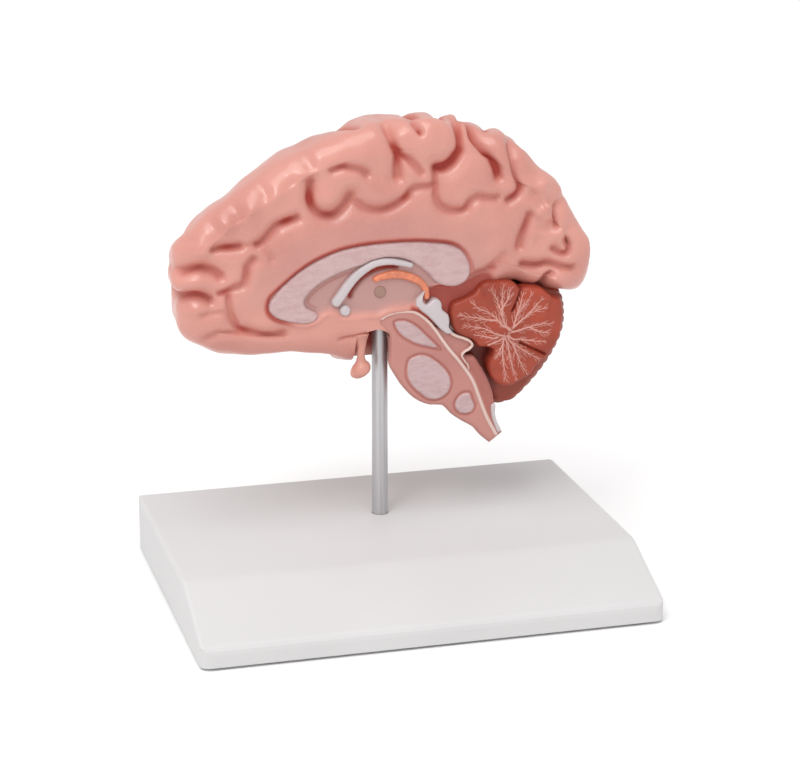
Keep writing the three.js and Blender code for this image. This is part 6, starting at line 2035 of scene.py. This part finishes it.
# %% Twigs
TWIG_POINTS = 6
TWIG_SHIFT = (-0.2, 0.2)
TWIG_REACH, TWIG_SHORTER = (0.5, 1.2), 0.45
TWIG_TURN, TWIG_STRAIGHTER = (0.6, 1.3), 0.35


def twig_lines(line, spacing, length, angle, random):
    """Lines of twigs at both sides of a branch, one pair every spacing. A twig starts off at about the angle
    and turns towards the branch's heading, and the nearer to the tip it grows, the shorter it is."""
    spaced = evenly(line, spacing)
    made = []
    total = len(spaced) - 1
    t = np.linspace(0, 1, TWIG_POINTS)[:, None]
    for i in range(1, total):
        step = spaced[i + 1] - spaced[i - 1]
        heading = math.atan2(step[1], step[0])
        for side in (-1, 1):
            start = spaced[i] + step * random.uniform(*TWIG_SHIFT)
            reach = length * (1 - TWIG_SHORTER * i / total) * random.uniform(*TWIG_REACH)
            bend = heading + side * angle * random.uniform(*TWIG_TURN) * (1 - TWIG_STRAIGHTER * t)
            made.append(start + reach * t * np.hstack([np.cos(bend), np.sin(bend)]))
    return made


TEST_BRANCH = np.array([(0.0, 0.0), (20.0, 0.0)])
print("twigs on a branch of 20 mm:", len(twig_lines(TEST_BRANCH, 2, 4, 0.6, np.random.default_rng(1))))

# %% All lines of the tree
TREE_SEED = 12
BRANCH_STEP = 0.6
BRANCH_WIDTHS, TWIG_WIDTHS, FINE_WIDTHS = (0.88, 0.2), (0.3, 0.12), (0.17, 0.08)
TWIG_RULE = (1.9, 4.2, 0.62)  # spacing, length and angle
FINE_RULE = (1.2, 1.3, 0.5)


def tree_lines():
    """Every branch, twig and twig's twig as its line and its widths at the root and the tip."""
    random = np.random.default_rng(TREE_SEED)
    made = []
    for branch in TREE_BRANCHES:
        line = spline(branch)
        made.append((evenly(line, BRANCH_STEP), BRANCH_WIDTHS))
        for twig in twig_lines(line, *TWIG_RULE, random):
            made.append((twig, TWIG_WIDTHS))
            made += [(fine, FINE_WIDTHS) for fine in twig_lines(twig, *FINE_RULE, random)]
    return made


TREE_LINES = tree_lines()
print("branches and twigs:", len(TREE_LINES))

# %% Tree
TREE = plain_paint("tree_paint", (213, 152, 140), 0.45, 0.05)
TREE_ROOM = 0.7  # that stays free inside the vermis's edge


def fine_tree():
    """All ridges in one mesh, each on the height of the vermis under its line."""
    places = np.vstack([line for line, _ in TREE_LINES])
    distance = distance_to_line(places, vermis_outline, closed=True)
    ground = VERMIS_FACE + edge_fall(distance, VERMIS_ROUNDING) + vermis_height(places, distance)
    free = inside(places, vermis_outline) & (distance > TREE_ROOM)
    points, faces = [], []
    first = count = 0
    for line, widths in TREE_LINES:
        kept = first + np.flatnonzero(free[first:first + len(line)])
        first += len(line)
        if len(kept) > 2:
            p, f = strand(places[kept], ground[kept], *widths)
            points.append(p)
            faces += [part + count for part in f]
            count += len(p)
    mesh = new_mesh("fine_tree", in_brain(np.vstack(points)), faces)
    piece = add_object("fine_tree", mesh, TREE, "brain")
    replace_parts(piece, "arbor_vitae")
    tell(piece)


fine_tree()

# %% [markdown]
# ## End

# %% End
